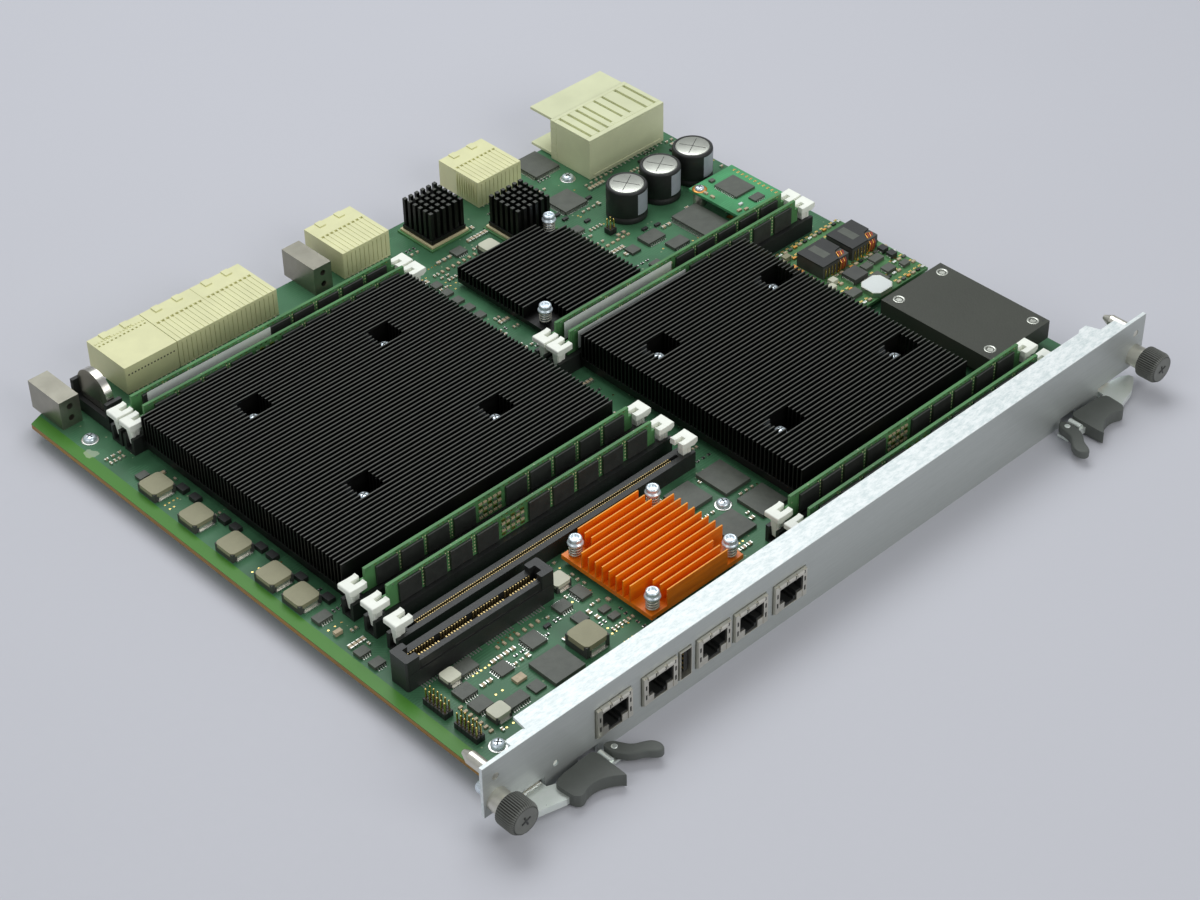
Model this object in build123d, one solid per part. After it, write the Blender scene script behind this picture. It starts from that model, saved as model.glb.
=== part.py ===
from build123d import *
import os

os.makedirs("parts", exist_ok=True)

# millimetres; x along the front panel, y from the panel's outer face to the rear, z up from the board's top
BOARD_W = 322.25
BOARD_D = 280.0
BOARD_T = 2.4
BOARD_FRONT = 2.6
PANEL_X0 = -12.0
PANEL_X1 = BOARD_W + 15.75
PANEL_T = 1.6
PANEL_TOP = 21.3
PANEL_FOOT = -7.65
TAB_FOOT = -1.3
FLANGE_D = 10.7
FLANGE_T = 1.2
SCREW_END = 5.5
SCREW_Z = 4.3
PIN_Z = 14.5
SINK_TOP = 18.0
SINK_BASE_Z = 3.0
SINK_BASE_T = 3.5
FIN_T = 0.8
FIN_PITCH = 2.5
POCKET = 14.0
CPU_HOLES = 65.2
MODULE_L = 133.35
MODULE_T = 1.27
MODULE_TOP = 18.0
SOCKET_W = 6.6
SOCKET_H = 7.5
LATCH_X = 70.5
LATCH_Z = 4.0
LATCH_T = 3.0
LATCH_HEAD_W = 6.9
CONN_H = 12.8
ROW_Y0 = BOARD_D - 15.0
ROW_Y1 = BOARD_D + 6.5
TAB_Y = BOARD_D + 10.6
CAP_R = 9.0
CAP_H = 15.8
PIVOT_X = 12.4
PIVOT_Y = 9.5
LEVER_T = 2.8
LEVER_Z = -6.4
GRIP_TOP = -1.6
GAP = 0.3
RUN = 0.05

SHIFT = Location((-BOARD_W / 2, -PANEL_T / 2, -PANEL_FOOT))
MIRROR_X = (PANEL_X0 + PANEL_X1) / 2


def box(x0, x1, y0, y1, z0, z1):
    size = Box(x1 - x0, y1 - y0, z1 - z0)
    return Pos((x0 + x1) / 2, (y0 + y1) / 2, (z0 + z1) / 2) * size


def block(x, y, w, d, z0, z1):
    return box(x - w / 2, x + w / 2, y - d / 2, y + d / 2, z0, z1)


def post(x, y, r, z0, z1):
    return Pos(x, y, (z0 + z1) / 2) * Cylinder(r, z1 - z0)


def rod_y(x, z, r, y0, y1):
    return Pos(x, (y0 + y1) / 2, z) * Rot(90, 0, 0) * Cylinder(r, y1 - y0)


def cone_y(x, z, r0, r1, y0, y1):
    return Pos(x, (y0 + y1) / 2, z) * Rot(-90, 0, 0) * Cone(r0, r1, y1 - y0)


def plate(points, z0, z1):
    face = Pos(0, 0, z0) * make_face(Polyline(*points, close=True))
    return extrude(face, z1 - z0, dir=(0, 0, 1))


def plate_y(points, y0, y1):
    face = make_face(Polyline(*[(x, y0, z) for x, z in points], close=True))
    return extrude(face, y1 - y0, dir=(0, 1, 0))


def plate_x(points, x0, x1):
    face = make_face(Polyline(*[(x0, y, z) for y, z in points], close=True))
    return extrude(face, x1 - x0, dir=(1, 0, 0))


def join(pieces):
    body = pieces[0]
    for piece in pieces[1:]:
        body = body + piece
    return body


def cut(body, tools):
    for tool in tools:
        body = body - tool
    return body


def save(name, pieces):
    solids = []
    for piece in pieces:
        solids.extend(piece.solids())
    moved = [SHIFT * solid for solid in solids]
    export_step(Compound(children=moved), "parts/" + name + ".step")


def other_side(shape):
    return mirror(shape, about=Plane(origin=(MIRROR_X, 0, 0), z_dir=(1, 0, 0)))


def comb(x0, x1, y0, y1, base_z, fin_z, top, pitch, fin_t):
    count = int((y1 - y0 - fin_t) / pitch) + 1
    start = (y0 + y1 - (count - 1) * pitch - fin_t) / 2
    points = []
    for i in range(count):
        a = start + i * pitch
        points += [(a, fin_z), (a, top), (a + fin_t, top), (a + fin_t, fin_z)]
    points[0] = (start, base_z)
    points[-1] = (start + (count - 1) * pitch + fin_t, base_z)
    return plate_x(points, x0, x1)


# board
CPU_A = (92.6, 179.7)
CPU_B = (229.9, 97.0)
CHIP_SCREWS = [(183.5, 180.5), (228.5, 226.5)]
ORANGE_SCREWS = [(94.0, 68.5), (133.5, 68.8), (133.2, 29.0), (93.7, 28.8)]
BRACKET_SCREW_Y = 20.4
BOARD_SCREWS = [(10.5, BOARD_D - 27.6), (PIVOT_X, BRACKET_SCREW_Y), (155.5, 53.8), (265.6, BOARD_D - 25.5),
                (2 * MIRROR_X - PIVOT_X, BRACKET_SCREW_Y)]
MEZZ_POST = (BOARD_W - 27.75, 184.0)


def corners(center, span):
    half = span / 2
    return [(center[0] + sx * half, center[1] + sy * half) for sx, sy in [(-1, -1), (1, -1), (1, 1), (-1, 1)]]


CPU_SCREWS = corners(CPU_A, CPU_HOLES) + corners(CPU_B, CPU_HOLES)
BOARD_HOLE_R = 1.6
BOARD_EDGE = [(0, BOARD_FRONT), (BOARD_W, BOARD_FRONT), (BOARD_W, BOARD_D), (7.8, BOARD_D), (0, BOARD_D - 3.2)]
ALL_SCREWS = CPU_SCREWS + CHIP_SCREWS + ORANGE_SCREWS + BOARD_SCREWS + [MEZZ_POST]
holes = [post(x, y, BOARD_HOLE_R, -BOARD_T - 1, 1) for x, y in ALL_SCREWS]
save("main_board", [cut(plate(BOARD_EDGE, -BOARD_T, 0), holes)])

# front panel: sheet with a top flange, end tabs, port openings and handle notches
JACKS = [46.4, 68.0, 94.3, 112.8, 133.0]
JACK_W = 16.4
JACK_H = 13.0
JACK_D = 21.0
USB_X = 80.6
USB_W = 5.7
USB_H = 13.0
RESET_X = 19.9
RESET_Z = 1.4
END_TAB = 26.5
NOTCH_TOP = TAB_FOOT - 2.0
NOTCH_L = PANEL_X0 + 41.4
NOTCH_L_W = 9.6
NOTCH_R = PANEL_X1 - 49.8
NOTCH_R_W = 10.3
foot_l = [(PANEL_X0, TAB_FOOT), (PANEL_X0 + END_TAB, TAB_FOOT), (PANEL_X0 + END_TAB, PANEL_FOOT)]
foot_r = [(PANEL_X1 - END_TAB, PANEL_FOOT), (PANEL_X1 - END_TAB, TAB_FOOT), (PANEL_X1, TAB_FOOT)]
notches = []
for x, w in [(NOTCH_L, NOTCH_L_W), (NOTCH_R, NOTCH_R_W)]:
    notches += [(x, PANEL_FOOT), (x, NOTCH_TOP), (x + w, NOTCH_TOP), (x + w, PANEL_FOOT)]
sheet = plate_y(foot_l + notches + foot_r + [(PANEL_X1, PANEL_TOP), (PANEL_X0, PANEL_TOP)], 0, PANEL_T)
FLANGE_END = PANEL_X1 - 12.0
flange_points = [(2, 0.4), (2, 3.9), (2.8, 4.6), (9.6, 4.6), (10.6, 4.0), (11.4, FLANGE_D),
                 (FLANGE_END - 17.0, FLANGE_D), (FLANGE_END - 15.0, FLANGE_D + 1.2),
                 (FLANGE_END - 11.0, FLANGE_D + 1.2), (FLANGE_END - 9.0, 6.2), (FLANGE_END - 0.5, 6.2),
                 (FLANGE_END, 0.4)]
top_flange = plate(flange_points, PANEL_TOP - FLANGE_T, PANEL_TOP)
cuts = [box(x - JACK_W / 2 - GAP, x + JACK_W / 2 + GAP, -1, PANEL_T + 1, -0.4, JACK_H + GAP) for x in JACKS]
cuts.append(box(USB_X - USB_W / 2 - GAP, USB_X + USB_W / 2 + GAP, -1, PANEL_T + 1, -0.4, USB_H + GAP))
cuts.append(rod_y(RESET_X, RESET_Z, 1.3, -1, PANEL_T + 1))
END_SCREWS = [PANEL_X0 + SCREW_END, PANEL_X1 - SCREW_END]
SLEEVE_R = 3.2
STUD_R = 1.5
for x in END_SCREWS:
    cuts.append(rod_y(x, SCREW_Z, SLEEVE_R, -1, PANEL_T + 1))
    cuts.append(rod_y(x, PIN_Z, STUD_R, -1, PANEL_T + 1))
save("front_panel", [cut(sheet + top_flange, cuts)])

# sleeves of the captive screws and guide pins behind the panel
SHANK_R = 2.2
THREAD_R = 2.5
THREAD_END = 9.0
SLEEVE_END = PANEL_T + 0.6
PIN_R = 2.5
PIN_END = 12.0
sleeves = []
for x in END_SCREWS:
    sleeve = rod_y(x, SCREW_Z, 4.5, -5.0, 0) + rod_y(x, SCREW_Z, SLEEVE_R, 0, SLEEVE_END)
    sleeves.append(sleeve - rod_y(x, SCREW_Z, SHANK_R + RUN, -6, SLEEVE_END + 1))
    pin = rod_y(x, PIN_Z, STUD_R, 0.2, PANEL_T) + rod_y(x, PIN_Z, PIN_R, PANEL_T, PIN_END)
    sleeves.append(pin + cone_y(x, PIN_Z, PIN_R, 1.0, PIN_END, PIN_END + 3.5))
save("panel_hardware", sleeves)


def thumbscrew(x):
    knob = rod_y(x, SCREW_Z, 6.7, -14.6, -5.2) - rod_y(x, SCREW_Z, 5.2, -14.9, -13.8)
    knob = knob + rod_y(x, SCREW_Z, 4.4, -14.4, -13.0)
    for turn in [0, 90]:
        cross = Pos(x, -13.9, SCREW_Z) * Rot(0, turn, 0) * Box(4.6, 1.6, 0.9)
        knob = knob - cross
    knob = knob + rod_y(x, SCREW_Z, SHANK_R, -5.3, SLEEVE_END + 0.3)
    return knob + rod_y(x, SCREW_Z, THREAD_R, SLEEVE_END + 0.2, THREAD_END)


save("thumbscrew_left", [thumbscrew(END_SCREWS[0])])
save("thumbscrew_right", [thumbscrew(END_SCREWS[1])])

# ejector handles: plated lever on a pivot under the board, plastic grip, trigger
TRIG_X = 41.2
TRIG_Y = -5.8
RIGHT_TURN = 18.0
LEVER_TOP = LEVER_Z + LEVER_T
lever_points = [(7.4, PIVOT_Y), (7.4, 1.6), (0.5, 0.6), (-3.5, -1.4), (-3.7, -3.6), (-1.1, -5.6), (3.3, -8.2),
                (14.1, -11.0), (33.0, -10.6), (37.8, -9.2), (37.8, -3.4), (17.0, -3.4), (13.6, -2.0), (13.6, 3.0),
                (17.4, PIVOT_Y)]
GRIP = [(15.0, -3.4), (33.3, -2.1), (35.0, -3.7), (35.1, -18.9), (33.6, -17.2), (31.0, -15.3), (27.5, -13.7),
        (24.0, -13.1), (21.0, -13.6), (18.8, -14.7), (17.2, -14.6), (15.6, -12.6)]
lever = plate(lever_points, LEVER_Z, LEVER_TOP) + post(PIVOT_X, PIVOT_Y, 5.0, LEVER_Z, LEVER_TOP)
lever = lever - post(PIVOT_X, PIVOT_Y, 2.0 + RUN, LEVER_Z - 1, 0)
lever = lever + rod_y(36.6, LEVER_TOP + 0.3, 1.3, -9.0, -3.4)
lever = lever + box(36.0, 43.4, -8.4, -3.2, LEVER_Z - 0.6, LEVER_Z + 0.7)
lever = lever + post(TRIG_X, TRIG_Y, 1.3, LEVER_Z - 0.4, GRIP_TOP - 0.3)
grip_body = plate(GRIP, LEVER_Z - 0.5, GRIP_TOP)
grip = grip_body - offset(plate(lever_points, LEVER_Z, LEVER_TOP), 0.02)
trigger_points = [(39.8, -1.9), (42.8, -2.8), (44.9, -6.8), (46.5, -9.2), (50.2, -10.9), (52.7, -12.5),
                  (54.0, -15.4), (53.2, -18.0), (51.3, -18.7), (49.2, -17.2), (46.9, -14.6), (43.4, -13.2),
                  (40.8, -10.6), (39.3, -6.4)]
trigger_face = make_face(Spline(*[(x, y, 0) for x, y in trigger_points], periodic=True))
trigger = extrude(Pos(0, 0, LEVER_Z + 1.0) * trigger_face, GRIP_TOP - LEVER_Z - 1.1, dir=(0, 0, 1))
trigger = trigger - box(36, TRIG_X - 2.4, -20, 0, LEVER_Z, 0)
trigger = trigger - post(TRIG_X, TRIG_Y, 1.3 + RUN, LEVER_Z - 1, 0)
right_trigger = other_side(trigger)
pivot = (2 * MIRROR_X - TRIG_X, TRIG_Y, 0)
right_trigger = Pos(*pivot) * Rot(0, 0, RIGHT_TURN) * Pos(-pivot[0], -pivot[1], 0) * right_trigger
right_trigger = right_trigger - post(280.8, -13.0, 0.9, LEVER_Z - 1, 0)
save("handle_left", [lever])
save("handle_right", [other_side(lever)])
save("grip_left", [grip])
save("grip_right", [other_side(grip)])
save("trigger_left", [trigger])
save("trigger_right", [right_trigger])
bracket = box(PIVOT_X - 7, PIVOT_X + 7, BOARD_FRONT + 0.4, 25.4, -BOARD_T - 1.0, -BOARD_T)
bracket = bracket - post(PIVOT_X, BRACKET_SCREW_Y, BOARD_HOLE_R, -5, 0)
bracket = bracket + post(PIVOT_X, PIVOT_Y, 2.0, LEVER_Z - 0.8, -BOARD_T - 0.5)
bracket = bracket + post(PIVOT_X, PIVOT_Y, 3.4, LEVER_Z - 0.9, LEVER_Z - 0.15)
save("handle_brackets", [bracket, other_side(bracket)])

# network jacks and the upright serial port
shells = []
inserts = []
WALL = 0.5
for x in JACKS:
    shell = box(x - JACK_W / 2, x + JACK_W / 2, -0.9, JACK_D - 0.9, 0, JACK_H)
    shell = shell - box(x - JACK_W / 2 + WALL, x + JACK_W / 2 - WALL, -1.9, JACK_D - 2, WALL, JACK_H - WALL)
    shells.append(shell)
    body = box(x - JACK_W / 2 + WALL, x + JACK_W / 2 - WALL, -0.5, JACK_D - 2, WALL, JACK_H - WALL)
    body = body - box(x - 5.9, x + 5.9, -1, 12.5, 4.2, 11.4)
    body = body - box(x - 3.2, x + 3.2, -1, 12.5, 2.4, 4.4)
    inserts.append(body - box(x - 2.0, x + 2.0, -1, 12.5, 1.2, 2.6))
usb = box(USB_X - USB_W / 2, USB_X + USB_W / 2, -0.9, 14.0, 0, USB_H)
shells.append(usb - box(USB_X - USB_W / 2 + 0.4, USB_X + USB_W / 2 - 0.4, -1.9, 12.6, 0.4, USB_H - 0.4))
inserts.append(box(USB_X - USB_W / 2 + 0.4, USB_X + USB_W / 2 - 0.4, 9.6, 12.6, 0.4, USB_H - 0.4)
               + box(USB_X + 0.2, USB_X + 2.0, 0.6, 9.8, 1.4, USB_H - 1.4))
save("port_shells", shells)
save("port_inserts", inserts)
switch = box(RESET_X - 3.4, RESET_X + 3.4, 5.0, 11.5, 0, 4.4) - rod_y(RESET_X, RESET_Z, 1.0 + RUN, 4.0, 8.6)
save("reset_button", [rod_y(RESET_X, RESET_Z, 1.0, 0.5, 7.6)])


# processor heatsinks
def cpu_sink(x0, x1, y0, y1, center):
    fin_z = SINK_BASE_Z + SINK_BASE_T
    sink = comb(x0, x1, y0, y1, SINK_BASE_Z, fin_z, SINK_TOP, FIN_PITCH, FIN_T)
    tools = []
    for x, y in corners(center, CPU_HOLES):
        tools.append(block(x, y, POCKET, POCKET, fin_z, SINK_TOP + 1))
        tools.append(post(x, y, BOARD_HOLE_R, 0, fin_z + 1))
    return cut(sink, tools)


save("cpu_heatsink_a", [cpu_sink(20.9, 154.4, 111.4, 230.5, CPU_A)])
save("cpu_heatsink_b", [cpu_sink(174.6, 268.4, 32.4, 150.4, CPU_B)])
PLATE_T = 2.4
plates = []
for center in [CPU_A, CPU_B]:
    back = block(center[0], center[1], 84, 84, PANEL_FOOT, PANEL_FOOT + PLATE_T)
    back = back - block(center[0], center[1], 30, 30, PANEL_FOOT - 1, 0)
    for x, y in corners(center, CPU_HOLES):
        back = back + post(x, y, 4.0, PANEL_FOOT + PLATE_T - 0.5, -BOARD_T)
        back = back - post(x, y, BOARD_HOLE_R, PANEL_FOOT - 1, 0)
    plates.append(back)
save("cpu_back_plates", plates)


def head_screw(x, y, seat, end, head_r, head_h):
    screw = post(x, y, head_r, seat, seat + head_h)
    for turn in [45, 135]:
        screw = screw - Pos(x, y, seat + head_h) * Rot(0, 0, turn) * Box(head_r * 1.2, 0.7, 1.6)
    return screw + post(x, y, BOARD_HOLE_R, end, seat + 0.2)


screws = [head_screw(x, y, SINK_BASE_Z + SINK_BASE_T, PANEL_FOOT + 0.4, 3.2, 2.6) for x, y in CPU_SCREWS]
RING_T = 0.6
screws += [head_screw(x, y, RING_T, -BOARD_T - 0.9, 2.9, 1.9) for x, y in BOARD_SCREWS]
rings = [post(x, y, 4.4, 0, RING_T) - post(x, y, BOARD_HOLE_R, -1, 1) for x, y in BOARD_SCREWS]
MEZZ_Z = 6.0
mezz_screw = head_screw(MEZZ_POST[0], MEZZ_POST[1], MEZZ_Z + 1.2, -BOARD_T - 0.6, 2.7, 1.6)
save("board_screws", screws + rings + [mezz_screw])

# smaller heatsinks
PIN_SINKS = [(195.5, BOARD_D - 16.3), (224.7, BOARD_D - 35.6)]
PIN_W = 19.0
CHIPSET = (204.7, 199.6)
PACK_T = 2.0
chip_sink = comb(178.4, 231.2, 171.8, 228.4, PACK_T, 4.2, 9.5, FIN_PITCH, FIN_T)
for (x, y), sx, sy in [(CHIP_SCREWS[0], -1, -1), (CHIP_SCREWS[1], 1, 1)]:
    chip_sink = chip_sink - block(x + sx * 6, y + sy * 8, 24, 28, 4.2, 12)
    chip_sink = chip_sink - post(x, y, BOARD_HOLE_R, 0, 6)
small_sinks = [chip_sink]
for cx, cy in PIN_SINKS:
    base = block(cx, cy, PIN_W, PIN_W, PACK_T, PACK_T + 2.0)
    for i in range(6):
        for j in range(6):
            px = cx + (i - 2.5) * 3.3
            py = cy + (j - 2.5) * 3.3
            base = base + block(px, py, 1.7, 1.7, PACK_T + 1.8, 17.2)
    small_sinks.append(base)
save("chip_heatsinks", small_sinks)
ORANGE = (113.6, 49.0)
orange = comb(90.2, 137.0, 25.8, 72.2, 2.6, 4.6, 12.0, 3.5, 1.0)
for x, y in ORANGE_SCREWS:
    sx = 1 if x > ORANGE[0] else -1
    sy = 1 if y > ORANGE[1] else -1
    orange = orange - block(x + sx * 5, y + sy * 5, 19, 19, 4.6, 13)
    orange = orange - post(x, y, BOARD_HOLE_R, 0, 6)
save("orange_heatsink", [orange])
spring_screws = []
for x, y in CHIP_SCREWS + ORANGE_SCREWS:
    seat = 4.2 if (x, y) in CHIP_SCREWS else 4.6
    stem = post(x, y, BOARD_HOLE_R, -BOARD_T - 1.2, seat + 6)
    for k in range(4):
        stem = stem + post(x, y, 2.7, seat + 0.1 + k * 1.4, seat + 0.9 + k * 1.4)
    stem = stem + post(x, y, 3.1, seat + 5.4, seat + 6.4) + post(x, y, 2.3, seat + 6.3, seat + 8.6)
    spring_screws.append(stem)
save("spring_screws", spring_screws)
packs = [block(CPU_A[0], CPU_A[1], 42, 42, 0, SINK_BASE_Z), block(CPU_B[0], CPU_B[1], 42, 42, 0, SINK_BASE_Z)]
packs.append(block(CHIPSET[0], CHIPSET[1], 37.5, 37.5, 0, PACK_T))
packs += [block(cx, cy, PIN_W, PIN_W, 0, PACK_T) for cx, cy in PIN_SINKS]
packs.append(block(ORANGE[0], ORANGE[1], 31, 31, 0, 2.6))
save("sink_packages", packs)

# memory sockets, modules and latches
BANKS = [(90.5, [104.6, 92.2, 79.8], 2), (90.5, [243.3, 235.2], 2), (237.8, [163.0, 155.0], 2),
         (225.5, [25.8, 16.2], 2)]
sockets = []
modules = []
chips = []
latches = []
HINGE_R = 1.0


def latch(cx, cy, side):
    pts = [(cx + side * (LATCH_X - 1.6), LATCH_Z - 1.4), (cx + side * (LATCH_X + 1.6), LATCH_Z - 1.4),
           (cx + side * (LATCH_X + 2.6), 12.4), (cx + side * (LATCH_X - 2.2), 12.4)]
    body = plate_y(pts, cy - LATCH_T / 2, cy + LATCH_T / 2)
    body = body + rod_y(cx + side * LATCH_X, LATCH_Z, HINGE_R, cy - LATCH_T / 2 - 0.9, cy + LATCH_T / 2 + 0.9)
    inner = MODULE_L / 2 - 0.6
    outer = LATCH_X + 3.8
    body = body + block(cx + side * (inner + outer) / 2, cy, outer - inner, LATCH_HEAD_W, 11.8, 14.6)
    slot_w = MODULE_L / 2 + GAP - inner + 0.5
    slot_x = MODULE_L / 2 + GAP - slot_w / 2
    return body - block(cx + side * slot_x, cy, slot_w, MODULE_T + 2 * GAP, 11, 16)


for bank, (cx, rows, filled) in enumerate(BANKS):
    for row, cy in enumerate(rows):
        half = MODULE_L / 2
        end = LATCH_X + 3.0
        body = box(cx - half - 1.6, cx + half + 1.6, cy - SOCKET_W / 2, cy + SOCKET_W / 2, 0, SOCKET_H)
        body = body - box(cx - half - GAP, cx + half + GAP, cy - MODULE_T / 2 - 0.15, cy + MODULE_T / 2 + 0.15,
                          1.5, SOCKET_H + 1)
        for side in [-1, 1]:
            xa = cx + side * (half + 1.0)
            xb = cx + side * end
            tower = box(min(xa, xb), max(xa, xb), cy - SOCKET_W / 2, cy + SOCKET_W / 2, 0, SOCKET_H)
            xc = cx + side * (half + 1.6)
            xd = cx + side * (end + 1)
            gap = LATCH_T / 2 + 0.25
            tower = tower - box(min(xc, xd), max(xc, xd), cy - gap, cy + gap, 1.2, SOCKET_H + 1)
            tower = tower - rod_y(cx + side * LATCH_X, LATCH_Z, HINGE_R + RUN, cy - gap - 0.8, cy + gap + 0.8)
            body = body + tower
            name = "latch_" + str(bank + 1) + "ABC"[row] + ("_left" if side < 0 else "_right")
            save(name, [latch(cx, cy, side)])
        sockets.append(body)
        if row >= filled:
            continue
        low = 1.6
        pts = [(cx - half, low), (cx + half, low), (cx + half, 13.6), (cx + half - 1.7, 13.6),
               (cx + half - 1.7, MODULE_TOP), (cx - half + 1.7, MODULE_TOP), (cx - half + 1.7, 13.6),
               (cx - half, 13.6)]
        modules.append(plate_y(pts, cy - MODULE_T / 2, cy + MODULE_T / 2))
        for k in range(9):
            x = cx + (k - 4) * 13.6
            for s in [-1, 1]:
                y = cy + s * (MODULE_T / 2 + 0.55)
                chips.append(block(x, y, 10.4, 1.1, SOCKET_H + 0.5, 16.6))
save("dimm_sockets", sockets)
save("memory_modules", modules)
save("memory_chips", chips)

# rear connectors
smooth = box(37.7, 63.0, ROW_Y0, ROW_Y1, 0, CONN_H) + box(44.5, 56.0, ROW_Y1 - 1, TAB_Y, CONN_H - 2.4, CONN_H)
smooth = smooth - box(40.0, 60.8, ROW_Y1 - 6.5, ROW_Y1 + 1, 3.2, 9.6)
save("rear_connector_smooth", [smooth])
RIBBED = [63.3, 88.3, 148.0, 222.8]
ribbed = []
for x0 in RIBBED:
    x1 = x0 + 24.9
    body = box(x0, x1, ROW_Y0, ROW_Y1, 0, CONN_H)
    body = body + box(x0 + 7.5, x1 - 7.5, ROW_Y1 - 1, TAB_Y, CONN_H - 2.4, CONN_H)
    grooves = []
    for k in range(9):
        gx = x0 + 2.45 + k * 2.5
        grooves.append(box(gx - 0.35, gx + 0.35, ROW_Y0 - 1, ROW_Y0 + 0.8, 0.8, CONN_H - 1.4))
    for k in range(4):
        gz = 1.6 + k * 2.3
        grooves.append(box(x0 + 1.4, x1 - 1.4, ROW_Y1 - 3.0, ROW_Y1 + 1, gz, gz + 1.0))
    body = cut(body, grooves)
    ribbed.append(body)
save("rear_connectors_ribbed", ribbed)
PWR = (BOARD_W - 50.45, BOARD_W - 5.25)
PWR_H = 20.0
PWR_Y0 = BOARD_D - 33.3
PWR_Y1 = BOARD_D - 8.2
power = box(PWR[0], PWR[1], PWR_Y0, PWR_Y1, 0, PWR_H)
for z in [0.4, PWR_H - 1.4]:
    power = power + box(PWR[0] + 1.2, PWR[1] - 1.2, PWR_Y1 - 0.8, BOARD_D + 6.0, z, z + 1.4)
tools = []
for k in range(10):
    gx = PWR[0] + 3.4 + k * 4.25
    tools.append(box(gx - 0.7, gx + 0.7, PWR_Y0 + 1.8, PWR_Y1 - 5.8, PWR_H - 0.8, PWR_H + 1))
for k in range(8):
    gx = PWR[0] + 4.2 + k * 5.2
    tools.append(box(gx - 1.1, gx + 1.1, PWR_Y1 - 3.8, PWR_Y1 + 1.2, 4.0, 8.0))
    tools.append(box(gx - 1.1, gx + 1.1, PWR_Y1 - 3.8, PWR_Y1 + 1.2, 11.4, 15.4))
save("power_connector", [cut(power, tools)])
blocks = []
for x0 in [6.5, 132.1]:
    body = box(x0, x0 + 9.1, ROW_Y0 - 0.5, ROW_Y1 - 1.1, 0, 13.0)
    body = body - box(x0 + 1.3, x0 + 7.8, ROW_Y0 + 6.0, ROW_Y1, 3.4, 10.6)
    for z in [4.0, 9.4]:
        body = body - rod_y(x0 + 4.55, z, 1.3, ROW_Y0 - 2.0, ROW_Y0 + 3.5)
    blocks.append(body)
save("alignment_blocks", blocks)

# capacitors, battery, card socket, headers
caps = []
for x, y in [(BOARD_W - 57.35, 216.8), (BOARD_W - 36.85, 217.2), (BOARD_W - 16.75, 217.4)]:
    can = post(x, y, CAP_R, 0, CAP_H) - (post(x, y, CAP_R + 1, 1.6, 2.2) - post(x, y, CAP_R - 0.5, 1, 3))
    caps.append(can)
save("capacitors", caps)
CELL_X = 22.4
CELL_Y = BOARD_D - 17.4
CELL_Z = 11.6
CELL_R = 10.0
cell = Pos(CELL_X, CELL_Y, CELL_Z) * Rot(0, 90, 0) * Cylinder(CELL_R, 3.2)
holder = box(CELL_X - 3.6, CELL_X + 3.6, CELL_Y - 12.2, CELL_Y + 12.2, 0, 6.0)
holder = holder - Pos(CELL_X, CELL_Y, CELL_Z) * Rot(0, 90, 0) * Cylinder(CELL_R + 0.05, 3.5)
holder = holder - box(CELL_X - 1.75, CELL_X + 1.75, CELL_Y - 8, CELL_Y + 8, 1.2, 7)
for s in [-1, 1]:
    holder = holder + block(CELL_X, CELL_Y + s * 11.3, 7.2, 1.8, 5.9, 13.0)
save("battery_holder", [holder])
save("coin_cell", [cell])
card = box(7.2, 76.4, 60.5, 70.0, 0, 11.0) + box(7.2, 16.0, 60.5, 70.0, 10.9, 14.4)
card = card + box(66.0, 76.4, 60.5, 70.0, 10.9, 14.4)
card = card - box(11.0, 72.6, 63.6, 66.9, 3.0, 15)
tails = [box(14.2 + k * 2.0, 14.8 + k * 2.0, 58.9, 60.7, 0, 0.5) for k in range(25)]
save("card_socket", [join([card] + tails)])
headers = []
for cx, cy, nx, ny in [(9.4, 47.5, 2, 6), (9.4, 31.4, 2, 6), (250.0, 211.5, 2, 2)]:
    base = block(cx, cy, nx * 2.0 + 0.6, ny * 1.95 + 0.2, 0, 2.6)
    for i in range(nx):
        for j in range(ny):
            px = cx + (i - (nx - 1) / 2) * 2.0
            py = cy + (j - (ny - 1) / 2) * 1.95
            base = base + block(px, py, 0.55, 0.55, 2.4, 7.2)
    headers.append(base)
save("pin_headers", headers)

# daughter boards and the power section
MEZZ_T = 1.2
MEZZ_X1 = BOARD_W - 6.05
mezz = box(MEZZ_X1 - 26.6, MEZZ_X1, 173.0, 204.0, MEZZ_Z, MEZZ_Z + MEZZ_T)
mezz = mezz + box(MEZZ_X1 - 7.6, MEZZ_X1 - 3.6, 176.0, 201.0, 0, MEZZ_Z + 0.1)
mezz = mezz + block(MEZZ_X1 - 13.6, 190.0, 8.6, 20.0, MEZZ_Z + MEZZ_T - 0.1, MEZZ_Z + MEZZ_T + 1.1)
mezz = mezz + post(MEZZ_POST[0], MEZZ_POST[1], 2.8, 0, MEZZ_Z + 0.05)
save("flash_mezzanine", [mezz - post(MEZZ_POST[0], MEZZ_POST[1], BOARD_HOLE_R, -1, MEZZ_Z + 3)])
PM_Z = 2.6
PM_T = 1.4
PM_W = 45.0
PM_D = 50.0
PM_CENTER = (BOARD_W - 23.75, 121.0)
pm = block(PM_CENTER[0], PM_CENTER[1], PM_W, PM_D, PM_Z, PM_Z + PM_T)
for sx in [-1, 1]:
    for sy in [-1, 1]:
        pm = pm + post(PM_CENTER[0] + sx * (PM_W / 2 - 3), PM_CENTER[1] + sy * (PM_D / 2 - 3), 1.8, 0, PM_Z + 0.1)
save("power_module", [pm])
mags = []
CORE_Z = PM_Z + PM_T
CORE_H = 6.0
for x, y in [(BOARD_W - 30.85, 128.0), (BOARD_W - 12.45, 128.4)]:
    core = block(x, y, 15.6, 14.6, CORE_Z, CORE_Z + CORE_H)
    for side in [-1, 1]:
        core = core - block(x, y + side * 4.6, 9.6, 4.0, CORE_Z + 4.2, CORE_Z + CORE_H + 1)
    mags.append(core)
for y in [209.1, 184.3, 161.6, 138.5, 122.7]:
    mags.append(block(10.6, y, 10.0, 10.4, 0, 3.6))
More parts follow.
